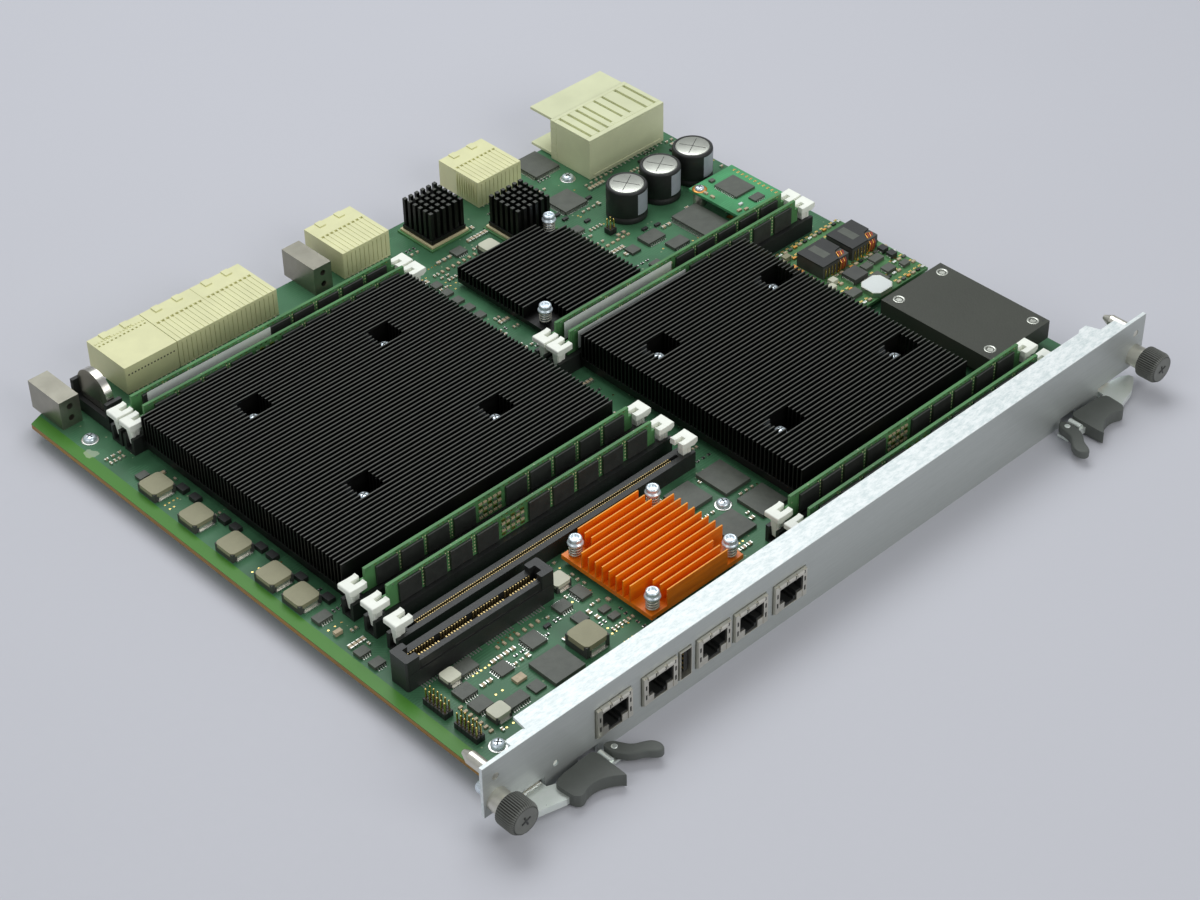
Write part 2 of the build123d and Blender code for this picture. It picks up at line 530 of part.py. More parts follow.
for x, y, w, d, h in [(203.5, 236.6, 7.4, 7.4, 4.0), (81.4, 64.4, 7, 6.4, 3.2), (67.8, 35, 11, 11, 5.0),
                      (21.5, 54.9, 6, 6, 3.0), (22.0, 30.6, 7, 6, 3.0)]:
    mags.append(block(x, y, w, d, 0, h))
save("magnetics", mags)
BRICK = (BOARD_W - 22.35, 59.3)
BRICK_W = 36.6
BRICK_D = 56.6
BRICK_Z = 3.6
BRICK_TOP = 12.0
brick = block(BRICK[0], BRICK[1], BRICK_W, BRICK_D, BRICK_Z, BRICK_TOP)
brick = brick + block(BRICK[0], BRICK[1], BRICK_W - 4, BRICK_D - 10, 1.0, BRICK_Z + 0.1)
for sx in [-1, 1]:
    for sy in [-1, 1]:
        brick = brick - post(BRICK[0] + 0.4 + sx * 13.3, BRICK[1] + sy * 23.5, 1.4, BRICK_TOP - 3, BRICK_TOP + 1)
        brick = brick + post(BRICK[0] + sx * 15.3, BRICK[1] + sy * 24.7, 1.2, 0, BRICK_Z + 0.1)
save("power_brick", [brick])

# flat packages and small parts: x, y, width, depth, height
CHIPS = [(29.0, 55.7, 8.0, 6.0, 1.6), (20.9, 46.9, 7, 6, 1.6), (20.6, 38.4, 7, 6, 1.6), (30.6, 31.5, 9, 5, 1.6),
         (38.0, 46.4, 6, 6, 1.0), (40.4, 31.7, 5, 5, 1.0), (55.1, 49.3, 7.2, 7.2, 1.4), (52.3, 34, 14, 14, 1.8),
         (84.0, 55.6, 5, 7, 1.4), (74.2, 54.8, 6, 5, 1.4), (74.6, 46.1, 5, 5, 1.2), (84, 43.2, 4, 3, 1.2),
         (84.0, 38.4, 4, 3, 1.2), (148.4, 65.2, 13, 13, 1.6), (148.4, 42.6, 13, 13, 1.6),
         (166.0, 64.0, 13.0, 16, 1.6), (167.0, 44.6, 13.4, 13.4, 1.6), (252.0, 241.0, 13, 13, 1.6),
         (262.0, 271.4, 14, 16, 1.6), (258.9, 195.8, 10, 7, 1.6), (264.0, 185.4, 9, 6, 1.4),
         (247.0, 195.0, 5, 5, 1.2), (194.2, 246.0, 6, 5, 1.2), (282.0, 188.0, 14.6, 23, 2.2),
         (170.6, 206.0, 4, 4, 1.2), (170.8, 213.0, 4, 4, 1.2), (171.0, 220.0, 4, 4, 1.2), (171.2, 227.0, 4, 4, 1.2),
         (171.4, 234.0, 4, 4, 1.2), (70.6, 73.4, 5, 4, 1.4), (140.6, 86.0, 5, 4, 1.4), (299.0, 105.0, 9, 7, 5.0)]
save("logic_chips", [block(x, y, w, d, 4.0 if h > 4 else 0, h) for x, y, w, d, h in CHIPS])
SMALL = []
for k in range(7):
    SMALL.append((44.0 + k * 3.2, 59.0 - 3.4, 1.0, 1.6, 0.7))
    SMALL.append((30.0 + k * 3.0, 258.0, 1.6, 1.0, 0.7))
    SMALL.append((236.0 + k * 3.0, 205.0, 1.6, 1.0, 0.7))
    SMALL.append((180.0 + k * 3.0, 240.0, 1.0, 1.6, 0.7))
    SMALL.append((120.0 + k * 3.0, 254.0, 1.6, 1.0, 0.7))
    SMALL.append((15.2, 27.0 + k * 2.6, 1.6, 1.0, 0.7))
small = [block(x, y, w, d, 0, h) for x, y, w, d, h in SMALL]
small += [block(38.9, 38.8, 4.6, 3.2, 0, 1.2), block(278.0, 169.8, 2.6, 2.6, 0, 1.0), switch]
save("small_components", small)
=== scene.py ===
import math
import random

import bmesh
import bpy
from mathutils import Matrix, Vector


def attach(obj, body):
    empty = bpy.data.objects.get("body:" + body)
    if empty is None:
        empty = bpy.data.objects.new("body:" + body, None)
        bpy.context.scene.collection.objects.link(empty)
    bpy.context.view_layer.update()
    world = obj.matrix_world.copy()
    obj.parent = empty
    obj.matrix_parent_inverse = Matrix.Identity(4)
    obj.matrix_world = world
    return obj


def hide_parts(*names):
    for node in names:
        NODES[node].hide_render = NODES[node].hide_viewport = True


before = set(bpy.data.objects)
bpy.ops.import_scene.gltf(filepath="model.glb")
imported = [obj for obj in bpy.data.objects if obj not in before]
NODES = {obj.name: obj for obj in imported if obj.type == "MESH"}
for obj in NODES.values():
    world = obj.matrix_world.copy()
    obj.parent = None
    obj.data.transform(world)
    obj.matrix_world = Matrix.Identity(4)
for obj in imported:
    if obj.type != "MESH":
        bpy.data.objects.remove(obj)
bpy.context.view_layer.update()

MM = 1000
BOARD_W = 322.25
PANEL_T = 1.6
FOOT = -7.65
UP = (0, 0, 1)


def level(z):
    """A height over the board's top in millimetres, as a height in the frame in metres."""
    return (z - FOOT) / MM


def spot(x, y, z):
    """Board coordinates in millimetres (left edge, panel face, board top) to the frame in metres."""
    return Vector(((x - BOARD_W / 2) / MM, (y - PANEL_T / 2) / MM, level(z)))


# materials: procedural, in object coordinates

class Shader:
    """The nodes of one material."""

    def __init__(self, name):
        self.mat = bpy.data.materials.new(name)
        self.mat.use_nodes = True
        self.tree = self.mat.node_tree
        self.tree.nodes.clear()
        self.bsdf = self.node("BsdfPrincipled", {})
        self.node("OutputMaterial", {0: self.bsdf.outputs[0]})
        self.vector = self.node("TexCoord", {}).outputs["Object"]

    def node(self, kind, inputs):
        """A node with its inputs, each a socket or a value, by name or number."""
        node = self.tree.nodes.new("ShaderNode" + kind)
        self.fill(node, inputs)
        return node

    def fill(self, node, inputs):
        for name, value in inputs.items():
            if isinstance(value, bpy.types.NodeSocket):
                self.tree.links.new(value, node.inputs[name])
            else:
                node.inputs[name].default_value = value

    def axes(self, vector=None):
        return self.node("SeparateXYZ", {0: vector or self.vector}).outputs

    def facing_up(self):
        return self.axes(self.node("NewGeometry", {}).outputs["Normal"])[2]

    def noise(self, scale, detail=3, stretch=None, rough=0.55):
        vector = self.vector
        if stretch:
            vector = self.node("Mapping", {"Vector": vector, "Scale": stretch}).outputs[0]
        inputs = {"Vector": vector, "Scale": scale, "Detail": detail, "Roughness": rough}
        return self.node("TexNoise", inputs).outputs["Fac"]

    def ramp(self, fac, *stops):
        node = self.node("ValToRGB", {"Fac": fac})
        elements = node.color_ramp.elements
        while len(elements) < len(stops):
            elements.new(0.5)
        for element, (position, color) in zip(elements, stops):
            element.position = position
            element.color = (*color, 1)
        return node.outputs["Color"]

    def math(self, kind, *values):
        node = self.tree.nodes.new("ShaderNodeMath")
        node.operation = kind
        self.fill(node, dict(enumerate(values)))
        return node.outputs[0]

    def mix(self, fac, a, b):
        """The colour socket a, and b, a colour or a socket, where fac is 1."""
        node = self.tree.nodes.new("ShaderNodeMix")
        node.data_type = "RGBA"
        self.fill(node, {0: fac, 6: a, 7: (*b, 1) if isinstance(b, tuple) else b})
        return node.outputs[2]

    def done(self, color, rough, metal, height, strength, distance=0.0002):
        bump = self.node("Bump", {"Strength": strength, "Distance": distance, "Height": height})
        self.fill(self.bsdf, {"Base Color": color, "Roughness": rough, "Metallic": metal,
                              "Normal": bump.outputs[0]})
        return self.mat


def shade(color, factor):
    return tuple(min(1, c * factor) for c in color)


GLOSS_SPREAD = 0.06


def finish(name, color, rough, metal, vary, scale, grain, strength, stretch=None):
    """A worked surface: mottled colour, uneven gloss and a fine bump, brushed along one axis when asked."""
    s = Shader(name)
    mottled = s.ramp(s.noise(scale, 4), (0.25, shade(color, 1 - vary)), (0.75, shade(color, 1 + vary)))
    fine = s.noise(grain, 2, stretch)
    gloss = s.math("MULTIPLY_ADD", fine, GLOSS_SPREAD * 2, rough - GLOSS_SPREAD)
    return s.done(mottled, gloss, metal, fine, strength)


TRACE_WAVES = 5200
VIA_CELLS = 330
MARGIN_X = 5.2
STAIN = (5.6, 245, 0)
LAMINATE_TOP = -0.35


def board_material(name, green, whole=False):
    """Solder mask: copper areas show as lighter fields, traces as fine parallel lines, vias as dots.

    The whole board also has a lighter left margin, a stain on it, and bare laminate on its cut edges.
    """
    s = Shader(name)
    x, y, z = s.axes()
    fields = s.noise(38, 2)
    base = s.ramp(fields, (0.42, shade(green, 0.86)), (0.5, green), (0.58, shade(green, 1.16)))
    slanted = s.math("GREATER_THAN", s.noise(55, 0), 0.52)
    waves = s.math("SINE", s.math("MULTIPLY", s.math("MULTIPLY_ADD", slanted, x, y), TRACE_WAVES))
    area = s.math("GREATER_THAN", s.noise(70, 1), 0.5)
    traces = s.math("MULTIPLY", s.math("GREATER_THAN", waves, 0.45), area)
    base = s.mix(s.math("MULTIPLY", traces, 0.35), base, shade(green, 1.55))
    cells = s.node("TexVoronoi", {"Vector": s.vector, "Scale": VIA_CELLS, "Randomness": 0.55})
    dots = s.math("LESS_THAN", cells.outputs["Distance"], 0.13)
    via = s.math("MULTIPLY", dots, s.math("GREATER_THAN", s.noise(90, 1), 0.56))
    base = s.mix(s.math("MULTIPLY", via, 0.75), base, (0.34, 0.42, 0.26))
    if whole:
        base = s.mix(s.math("LESS_THAN", x, spot(MARGIN_X, 0, 0).x), base, (0.070, 0.225, 0.030))
        stain = s.node("VectorMath", {0: s.vector, 1: spot(*STAIN)})
        stain.operation = "DISTANCE"
        wide = s.math("MULTIPLY_ADD", s.noise(240), 0.004, 0.0005)
        near = s.math("LESS_THAN", stain.outputs["Value"], wide)
        base = s.mix(s.math("MULTIPLY", near, 0.4), base, (0.62, 0.66, 0.5))
        layers = s.noise(1, 2, (30, 30, 4000))
        laminate = s.ramp(layers, (0.3, (0.22, 0.10, 0.02)), (0.7, (0.42, 0.24, 0.05)))
        low = s.math("LESS_THAN", z, level(LAMINATE_TOP))
        wall = s.math("LESS_THAN", s.math("ABSOLUTE", s.facing_up()), 0.5)
        base = s.mix(s.math("MULTIPLY", low, wall), base, laminate)
    height = s.math("ADD", traces, s.math("MULTIPLY", s.noise(1500, 2), 0.3))
    s.bsdf.inputs["Specular IOR Level"].default_value = 0.22
    return s.done(base, s.math("MULTIPLY_ADD", fields, 0.18, 0.26), 0, height, 0.25, 0.00003)


def fin_material(name, dark, light, tops, rough=0.42, metal=0.3):
    """Anodised fins: dark walls, with the up-facing top edges at the given heights in a lighter colour, a
    painted highlight.
    """
    s = Shader(name)
    walls = s.ramp(s.noise(6, 3, (8, 60, 60)), (0.3, shade(dark, 0.75)), (0.7, shade(dark, 1.3)))
    # painted highlight: the up-facing faces at the tops' heights take the lighter colour
    z, painted_top_highlight = s.axes()[2], 0
    for top in tops:
        painted_top_highlight = s.math("MAXIMUM", painted_top_highlight, s.math("COMPARE", z, level(top), 0.0004))
    painted_top_highlight = s.math("MULTIPLY", s.math("GREATER_THAN", s.facing_up(), 0.6), painted_top_highlight)
    scratch = s.noise(2, 3, (40, 900, 900))
    edge = s.ramp(scratch, (0.3, shade(light, 0.8)), (0.7, shade(light, 1.2)))
    gloss = s.math("MULTIPLY_ADD", scratch, 0.2, rough - 0.1)
    return s.done(s.mix(painted_top_highlight, walls, edge), gloss, metal, scratch, 0.2)


BEHIND_FACE = -0.0006
BRUSHED = (0.25, 6, 6)


def panel_material():
    """A brushed face in front, and mottled galvanised sheet on the edges and the folded flange behind it."""
    s = Shader("panel_steel")
    behind = s.math("GREATER_THAN", s.axes()[1], BEHIND_FACE)
    face = s.ramp(s.noise(300, 2, BRUSHED), (0.3, (0.44, 0.465, 0.45)), (0.7, (0.48, 0.505, 0.49)))
    spangle = s.noise(330, 4, (1, 2.2, 1), 0.7)
    zinc = s.ramp(spangle, (0.36, (0.62, 0.69, 0.69)), (0.5, (0.76, 0.81, 0.805)),
                  (0.62, (0.87, 0.90, 0.895)))
    gloss = s.math("MULTIPLY_ADD", spangle, 0.25, 0.33)
    metal = s.math("MULTIPLY_ADD", behind, -0.3, 0.5)
    return s.done(s.mix(behind, face, zinc), gloss, metal, spangle, 0.12)


# heights of the fins' tops over the board
CPU_TOP, LOW_TOP, PIN_TOP, ORANGE_TOP = 18, 9.5, 17.2, 12

# name, colour, roughness, metallic, mottling, its scale, grain scale, grain strength, brushing
FINISHES = {
    "knob": ("knob_black", (0.14, 0.144, 0.13), 0.5, 0, 0.15, 200, 1400, 0.2),
    "cast": ("cast_nickel", (0.33, 0.315, 0.26), 0.36, 0.9, 0.14, 120, 700, 0.15),
    "steel": ("zinc_steel", (0.47, 0.50, 0.495), 0.5, 0.55, 0.09, 45, 300, 0.12, BRUSHED),
    "nickel": ("nickel_plate", (0.68, 0.66, 0.58), 0.33, 0.9, 0.1, 200, 700, 0.1),
    "bright": ("bright_screws", (0.78, 0.87, 0.94), 0.28, 0.6, 0.08, 400, 900, 0.08),
    "zinc": ("zinc_lever", (0.90, 0.98, 0.90), 0.3, 0.65, 0.08, 120, 500, 0.12),
    "grip": ("handle_plastic", (0.092, 0.100, 0.090), 0.5, 0, 0.1, 90, 1600, 0.3),
    "black": ("black_plastic", (0.018, 0.019, 0.018), 0.48, 0, 0.25, 120, 1400, 0.25),
    "chip": ("moulded_chips", (0.088, 0.096, 0.078), 0.5, 0, 0.16, 260, 2200, 0.3),
    "dram": ("memory_packages", (0.034, 0.036, 0.033), 0.45, 0, 0.25, 260, 2200, 0.3),
    "cream": ("cream_plastic", (0.76, 0.75, 0.43), 0.42, 0, 0.07, 90, 900, 0.12),
    "latch": ("latch_plastic", (0.93, 0.95, 0.86), 0.4, 0, 0.05, 200, 900, 0.12),
    "grey_cream": ("power_plastic", (0.68, 0.70, 0.45), 0.5, 0, 0.08, 60, 900, 0.12),
    "ferrite": ("ferrite_grey", (0.06, 0.062, 0.056), 0.55, 0, 0.2, 150, 1200, 0.3),
    "coil_tan": ("inductor_tan", (0.30, 0.285, 0.175), 0.55, 0, 0.06, 200, 1500, 0.25),
    "coil_light": ("inductor_light", (0.6, 0.6, 0.47), 0.5, 0, 0.06, 200, 1500, 0.2),
    "brick": ("brick_plate", (0.050, 0.053, 0.041), 0.5, 0.3, 0.08, 40, 1300, 0.3),
    "gold": ("gold_contacts", (0.75, 0.56, 0.2), 0.25, 1, 0.08, 500, 900, 0.05),
    "solder": ("solder", (0.72, 0.72, 0.68), 0.28, 0.9, 0.1, 800, 1800, 0.3),
    "ceramic": ("ceramic_parts", (0.50, 0.40, 0.26), 0.5, 0, 0.15, 700, 1800, 0.2),
    "label": ("blank_label", (0.80, 0.84, 0.80), 0.55, 0, 0.05, 90, 1200, 0.08),
    "white": ("white_label", (0.72, 0.76, 0.74), 0.5, 0, 0.04, 90, 1200, 0.08),
    "copper": ("copper_ring", (0.72, 0.33, 0.08), 0.35, 0.7, 0.1, 400, 900, 0.1),
    "red": ("red_winding", (0.36, 0.045, 0.02), 0.4, 0.1, 0.15, 500, 900, 0.1),
    "stripe": ("cap_stripe", (0.35, 0.38, 0.42), 0.4, 0, 0.08, 200, 900, 0.08),
    "can": ("cap_can", (0.55, 0.56, 0.50), 0.3, 0.9, 0.08, 200, 900, 0.08),
    "cell": ("coin_steel", (0.62, 0.60, 0.55), 0.25, 1, 0.08, 150, 700, 0.06),
    "package": ("package_rim", (0.62, 0.55, 0.33), 0.5, 0.1, 0.1, 200, 900, 0.1),
    "dark_hole": ("shaded_hole", (0.012, 0.012, 0.008), 0.7, 0, 0.2, 300, 900, 0.1),
    "old_gold": ("dull_contacts", (0.40, 0.30, 0.13), 0.38, 0.8, 0.2, 500, 900, 0.1),
    "floor": ("pale_floor", (0.555, 0.555, 0.60), 0.6, 0, 0.01, 4, 300, 0.02),
}
MATS = {key: finish(*values) for key, values in FINISHES.items()}
MATS["panel"] = panel_material()
MATS["board"] = board_material("solder_mask", (0.060, 0.170, 0.085), True)
MATS["daughter"] = board_material("daughter_mask", (0.085, 0.225, 0.085))
MATS["mezz"] = board_material("flash_mask", (0.07, 0.30, 0.125))
# the second colour of each fin material is the painted highlight on its fin tops
MATS["fins"] = fin_material("black_fins", (0.004, 0.004, 0.0035), (0.052, 0.054, 0.045),
                            (CPU_TOP, LOW_TOP, PIN_TOP))
MATS["orange"] = fin_material("orange_fins", (1, 0.20, 0.003), (1, 0.34, 0.015), (ORANGE_TOP,), 0.38, 0)

# CAD nodes by material; those not named here, the latches and the reset button, are in the latches' plastic
NODE_GROUPS = {
    "board": "main_board", "daughter": "memory_modules flash_mezzanine power_module", "panel": "front_panel",
    "zinc": "handle_left handle_right", "steel": "handle_brackets cpu_back_plates",
    "nickel": "panel_hardware port_shells", "cast": "alignment_blocks", "cell": "coin_cell",
    "bright": "board_screws spring_screws", "fins": "cpu_heatsink_a cpu_heatsink_b chip_heatsinks",
    "brick": "power_brick", "orange": "orange_heatsink", "grey_cream": "power_connector",
    "cream": "rear_connector_smooth rear_connectors_ribbed", "ferrite": "magnetics",
    "chip": "logic_chips", "dram": "memory_chips", "ceramic": "small_components",
    "grip": "grip_left grip_right trigger_left trigger_right",
    "black": "capacitors thumbscrew_left thumbscrew_right pin_headers sink_packages port_inserts card_socket "
             "battery_holder dimm_sockets",
}
NODE_KEYS = {name: key for key, names in NODE_GROUPS.items() for name in names.split()}
for node_name in NODES:
    node_materials = NODES[node_name].data.materials
    node_materials.clear()
    node_materials.append(MATS[NODE_KEYS.get(node_name, "latch")])


# mesh helpers

class Maker:
    """One added piece: a mesh of parts in board millimetres, riding on one body."""

    def __init__(self, name, body="blade"):
        self.name = name
        self.body = body
        self.bm = bmesh.new()
        self.slots = []

    def slot(self, key):
        if key not in self.slots:
            self.slots.append(key)
        return self.slots.index(key)

    def face(self, verts, index, smooth=False):
        face = self.bm.faces.new(verts)
        face.material_index = index
        face.smooth = smooth

    def box(self, x0, x1, y0, y1, z0, z1, key):
        """A box; its limits in x and in y may come in either order."""
        index = self.slot(key)
        (xa, ya, za), (xb, yb, zb) = spot(min(x0, x1), min(y0, y1), z0), spot(max(x0, x1), max(y0, y1), z1)
        verts = [self.bm.verts.new((x, y, z)) for z in (za, zb) for y in (ya, yb) for x in (xa, xb)]
        for quad in ((0, 2, 3, 1), (4, 5, 7, 6), (0, 1, 5, 4), (2, 6, 7, 3), (0, 4, 6, 2), (1, 3, 7, 5)):
            self.face([verts[i] for i in quad], index)

    def bar(self, x, half, y0, y1, z0, z1, key):
        """A box with its middle and half width in x."""
        self.box(x - half, x + half, y0, y1, z0, z1, key)

    def block(self, x, y, w, d, z0, z1, key):
        self.box(x - w / 2, x + w / 2, y - d / 2, y + d / 2, z0, z1, key)

    def skin(self, rings, index, smooth=False):
        """The side faces between closed rings of equal length."""
        for lower, upper in zip(rings, rings[1:]):
            for i in range(len(lower)):
                j = (i + 1) % len(lower)
                self.face((lower[i], lower[j], upper[j], upper[i]), index, smooth)

    def loft(self, low, high, key):
        """A solid between two outlines of equal length."""
        index = self.slot(key)
        rings = [[self.bm.verts.new(spot(*p)) for p in outline] for outline in (low, high)]
        self.face(rings[0][::-1], index)
        self.face(rings[1], index)
        self.skin(rings, index)

    def prism(self, points, lo, hi, key, axis="z"):
        """A closed outline in the two other axes, extruded along one axis from lo to hi."""
        place = {"z": lambda a, b, c: (a, b, c), "y": lambda a, b, c: (a, c, b),
                 "x": lambda a, b, c: (c, a, b)}[axis]
        self.loft([place(a, b, lo) for a, b in points], [place(a, b, hi) for a, b in points], key)

    def hoops(self, rounds, key, sides):
        """Circles, each given by centre, two directions and radius, skinned and capped."""
        index = self.slot(key)
        turns = [2 * math.pi * i / sides for i in range(sides)]
        rings = [[self.bm.verts.new(centre + (side * math.cos(a) + other * math.sin(a)) * (radius / MM))
                  for a in turns] for centre, side, other, radius in rounds]
        self.skin(rings, index, True)
        self.face(rings[0][::-1], index)
        self.face(rings[-1], index)

    def lathe(self, center, axis, profile, key, sides=24):
        """A turned part; profile holds (radius, distance along the axis from center)."""
        origin = spot(*center)
        axis = Vector(axis).normalized()
        side = axis.orthogonal().normalized()
        other = axis.cross(side)
        self.hoops([(origin + axis * (along / MM), side, other, r) for r, along in profile], key, sides)

    def post(self, x, y, z, profile, key, sides=24):
        self.lathe((x, y, z), UP, profile, key, sides)

    def tube(self, points, radius, key, sides=8):
        """A round wire along points."""
        path = [spot(*p) for p in points]
        side = None
        rounds = []
        for i, p in enumerate(path):
            ahead = (path[min(i + 1, len(path) - 1)] - path[max(i - 1, 0)]).normalized()
            if side is None:
                side = ahead.orthogonal().normalized()
            side = (side - ahead * side.dot(ahead)).normalized()
            rounds.append((p, side, ahead.cross(side), radius))
        self.hoops(rounds, key, sides)

    def coil(self, x, y, z, height, radius, wire, turns):
        """A spring of round wire with 16 points a turn."""
        points = []
        for i in range(turns * 16 + 1):
            a = 2 * math.pi * i / 16
            points.append((x + radius * math.cos(a), y + radius * math.sin(a), z + height * i / (turns * 16)))
        self.tube(points, wire, "nickel")

    def cross(self, x, y, z, half, turn, wire):
        """Two dark lines crossed at a right angle, painted shade standing for a screw's recess or a can's
        vent.
        """
        for a in (turn, turn + math.pi / 2):
            dx, dy = math.cos(a) * half, math.sin(a) * half
            self.tube([(x - dx, y - dy, z), (x + dx, y + dy, z)], wire, "ferrite", 6)

    def done(self, slot, replaces=(), bevel=0):
        """Turn the parts into one object; bevel is in millimetres."""
        bmesh.ops.recalc_face_normals(self.bm, faces=self.bm.faces[:])
        mesh = bpy.data.meshes.new(self.name)
        self.bm.to_mesh(mesh)
        self.bm.free()
        obj = bpy.data.objects.new(self.name, mesh)
        bpy.context.scene.collection.objects.link(obj)
        for key in self.slots:
            mesh.materials.append(MATS[key])
        if bevel:
            mod = obj.modifiers.new("edges", "BEVEL")
            mod.width = bevel / MM
            mod.segments = 2
            mod.limit_method = "ANGLE"
        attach(obj, self.body)
        if replaces:
            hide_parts(*replaces)


def rounded(points, passes=2, amount=0.25):
    """Corner cutting: softens a closed outline."""
    for _ in range(passes):
        cut = []
        for i, p in enumerate(points):
            q = points[(i + 1) % len(points)]
            cut.append((p[0] + (q[0] - p[0]) * amount, p[1] + (q[1] - p[1]) * amount))
            cut.append((q[0] + (p[0] - q[0]) * amount, q[1] + (p[1] - q[1]) * amount))
        points = cut
    return points


# spring screws: turned heads over real coils
CHIP_SCREWS = [(183.5, 180.5), (228.5, 226.5)]
ORANGE_SCREWS = [(94, 68.5), (133.5, 68.8), (133.2, 29), (93.7, 28.8)]
SPRING_HEAD = ((3.1, 5.5), (3.1, 5.9), (2.7, 6.3), (2.2, 6.6), (2.4, 7), (2.6, 7.6), (2.4, 8.2), (1.6, 8.5),
               (1.3, 8), (1.2, 7.6))
springs = Maker("spring_screw_set")
for x, y in CHIP_SCREWS + ORANGE_SCREWS:
    seat = 4.2 if (x, y) in CHIP_SCREWS else 4.6
    springs.post(x, y, 0, [(1.2, -3.4), (1.5, -3), (1.5, seat + 6)], "bright", 16)
    springs.post(x, y, seat, SPRING_HEAD, "bright")
    springs.coil(x, y, seat + 0.4, 4.8, 2.3, 0.36, 4)
springs.done("nickel", ("spring_screws",))

# pan-head screws with a cross recess
heads = Maker("pan_head_screws")


def pan_head(x, y, seat, r, h, turn, end):
    """A head of radius r and height h on its seat, with the shank going down to end."""
    crown = [(r, seat), (r, seat + h * 0.3), (r * 0.93, seat + h * 0.62), (r * 0.72, seat + h * 0.88),
             (r * 0.4, seat + h * 0.99), (0.08, seat + h)]
    heads.post(x, y, 0, [(1.2, end), (1.5, end + 0.3), (1.5, seat)] + crown, "bright", 28)
    # the cross recess drawn as dark lines of painted shade
    heads.cross(x, y, seat + h * 0.93, r * 0.52, turn, 0.3)


# the processors, and the squares of driver pockets and heads, which stand nearer the panel
CPU_CENTRES = ((92.6, 179.7), (229.9, 97))
CPU_SQUARES = ((88.6, 173.3), (225.9, 90.6))
HEAD_SHIFTS = ((2.3, 2.3),) * 4 + ((3.7, 0.9),) * 4
FLASH_SCREW = (292.6, 200.4)
BOARD_SCREWS = ((10.5, 252.4), (12.4, 20.4), (155.5, 53.8), (265.6, 254.5), (313.6, 20.4))


def squares(centres, half):
    corners = ((-1, -1), (1, -1), (1, 1), (-1, 1))
    return [(cx + sx * half, cy + sy * half) for cx, cy in centres for sx, sy in corners]


CPU_POCKETS = squares(CPU_SQUARES, 32.45)
CPU_HEADS = [(x - dx, y - dy) for (x, y), (dx, dy) in zip(CPU_POCKETS, HEAD_SHIFTS)]
for i, (x, y) in enumerate(CPU_HEADS):
    pan_head(x, y, 12.9, 2.4, 2.1, 0.4 + i * 0.7, 4.6)
    heads.post(x, y, 0, [(2.7, 12.4), (2.7, 12.8), (2.5, 12.95)], "bright", 28)
    heads.coil(x, y, 6.8, 5.4, 2.2, 0.36, 5)
for x, y in squares(CPU_CENTRES, 32.6):
    heads.post(x, y, 0, [(1.2, -7.2), (1.5, -6.9), (1.5, -1.8)], "bright", 20)
for i, (x, y) in enumerate(BOARD_SCREWS):
    heads.post(x, y, 0, [(1.5, 0), (3.5, 0), (3.5, 0.12), (3.3, 0.2), (2.7, 0.2)], "solder", 32)
    pan_head(x, y, 0.2, 2.7, 1.9, 0.2 + i * 0.5, -3.2)
pan_head(*FLASH_SCREW, 7.2, 2.1, 1.5, 0.5, 1)
heads.post(*FLASH_SCREW, 7.2, [(2.2, 0), (3.3, 0), (3.3, 0.06), (2.2, 0.06)], "copper", 32)
heads.done("nickel", ("board_screws",))


# finned heatsinks and the packages under them
def fin_comb(maker, area, z0, z1, z2, pitch, thick, pockets, key):
    """A base from z0 to z1 with fins along x up to z2, left out where a pocket (x0, x1, y0, y1) is."""
    x0, x1, y0, y1 = area
    maker.box(x0, x1, y0, y1, z0, z1, key)
    gaps = round((y1 - y0 - thick) / pitch)
    for i in range(gaps + 1):
        y = y0 + i * (y1 - y0 - thick) / gaps
        runs = [(x0, x1)]
        for px0, px1, py0, py1 in pockets:
            if y + thick > py0 and y < py1:
                ends = [(a, min(b, px0)) for a, b in runs] + [(max(a, px1), b) for a, b in runs]
                runs = [(a, b) for a, b in ends if b - a > 0.5]
        for a, b in runs:
            maker.box(a, b, y, y + thick, z1 - 0.05, z2, key)


def driver_pocket(pocket, head):
    """The square pocket with a little more room around the screw head at its near corner."""
    (x, y), (hx, hy) = pocket, head
    return [(x - 5.1, x + 5.1, y - 5.1, y + 5.1), (hx - 3.3, hx + 3, hy - 3.3, hy + 3)]


SINK_AREAS = ((20.9, 154.4, 111.4, 230.5, 2.033), (174.6, 268.4, 32.4, 150.4, 2.054))
CPU_GAPS = [gap for pocket, head in zip(CPU_POCKETS, CPU_HEADS) for gap in driver_pocket(pocket, head)]
for tag, (*area, pitch), gaps in zip("ab", SINK_AREAS, (CPU_GAPS[:8], CPU_GAPS[8:])):
    sink = Maker("cpu_sink_fins_" + tag)
    fin_comb(sink, area, 3, 6.5, CPU_TOP, pitch, 0.6, gaps, "fins")
    sink.done("black_aluminium", ("cpu_heatsink_" + tag,), bevel=0.1)

PIN_SINKS = ((197.4, 264.9), (224.7, 240.6))
low_sinks = Maker("low_sink_fins")
fin_comb(low_sinks, (178.4, 231.2, 171.8, 228.4), 2, 4.2, LOW_TOP, 2.34, 0.7,
         [(165.5, 189.5, 158.5, 186.5), (222.5, 246.5, 220.5, 248.5)], "fins")
for x, y in PIN_SINKS:
    low_sinks.block(x, y, 19, 19, 2, 4, "fins")
    for i in range(6):
        for j in range(6):
            low_sinks.block(x + (i - 2.5) * 3.3, y + (j - 2.5) * 3.3, 1.7, 1.7, 3.9, PIN_TOP, "fins")
low_sinks.done("black_aluminium", ("chip_heatsinks",), bevel=0.12)

ORANGE_CENTRE = (113.6, 49)
orange_sink = Maker("orange_sink_fins")
corner_gaps = []
for x, y in ORANGE_SCREWS:
    x += 5 if x > ORANGE_CENTRE[0] else -5
    y += 5 if y > ORANGE_CENTRE[1] else -5
    corner_gaps.append((x - 9.5, x + 9.5, y - 9.5, y + 9.5))
fin_comb(orange_sink, (90.2, 137, 25.8, 72.2), 2.6, 4.6, ORANGE_TOP, 3.454, 0.6, corner_gaps, "orange")
orange_sink.done("orange_aluminium", ("orange_heatsink",), bevel=0.1)

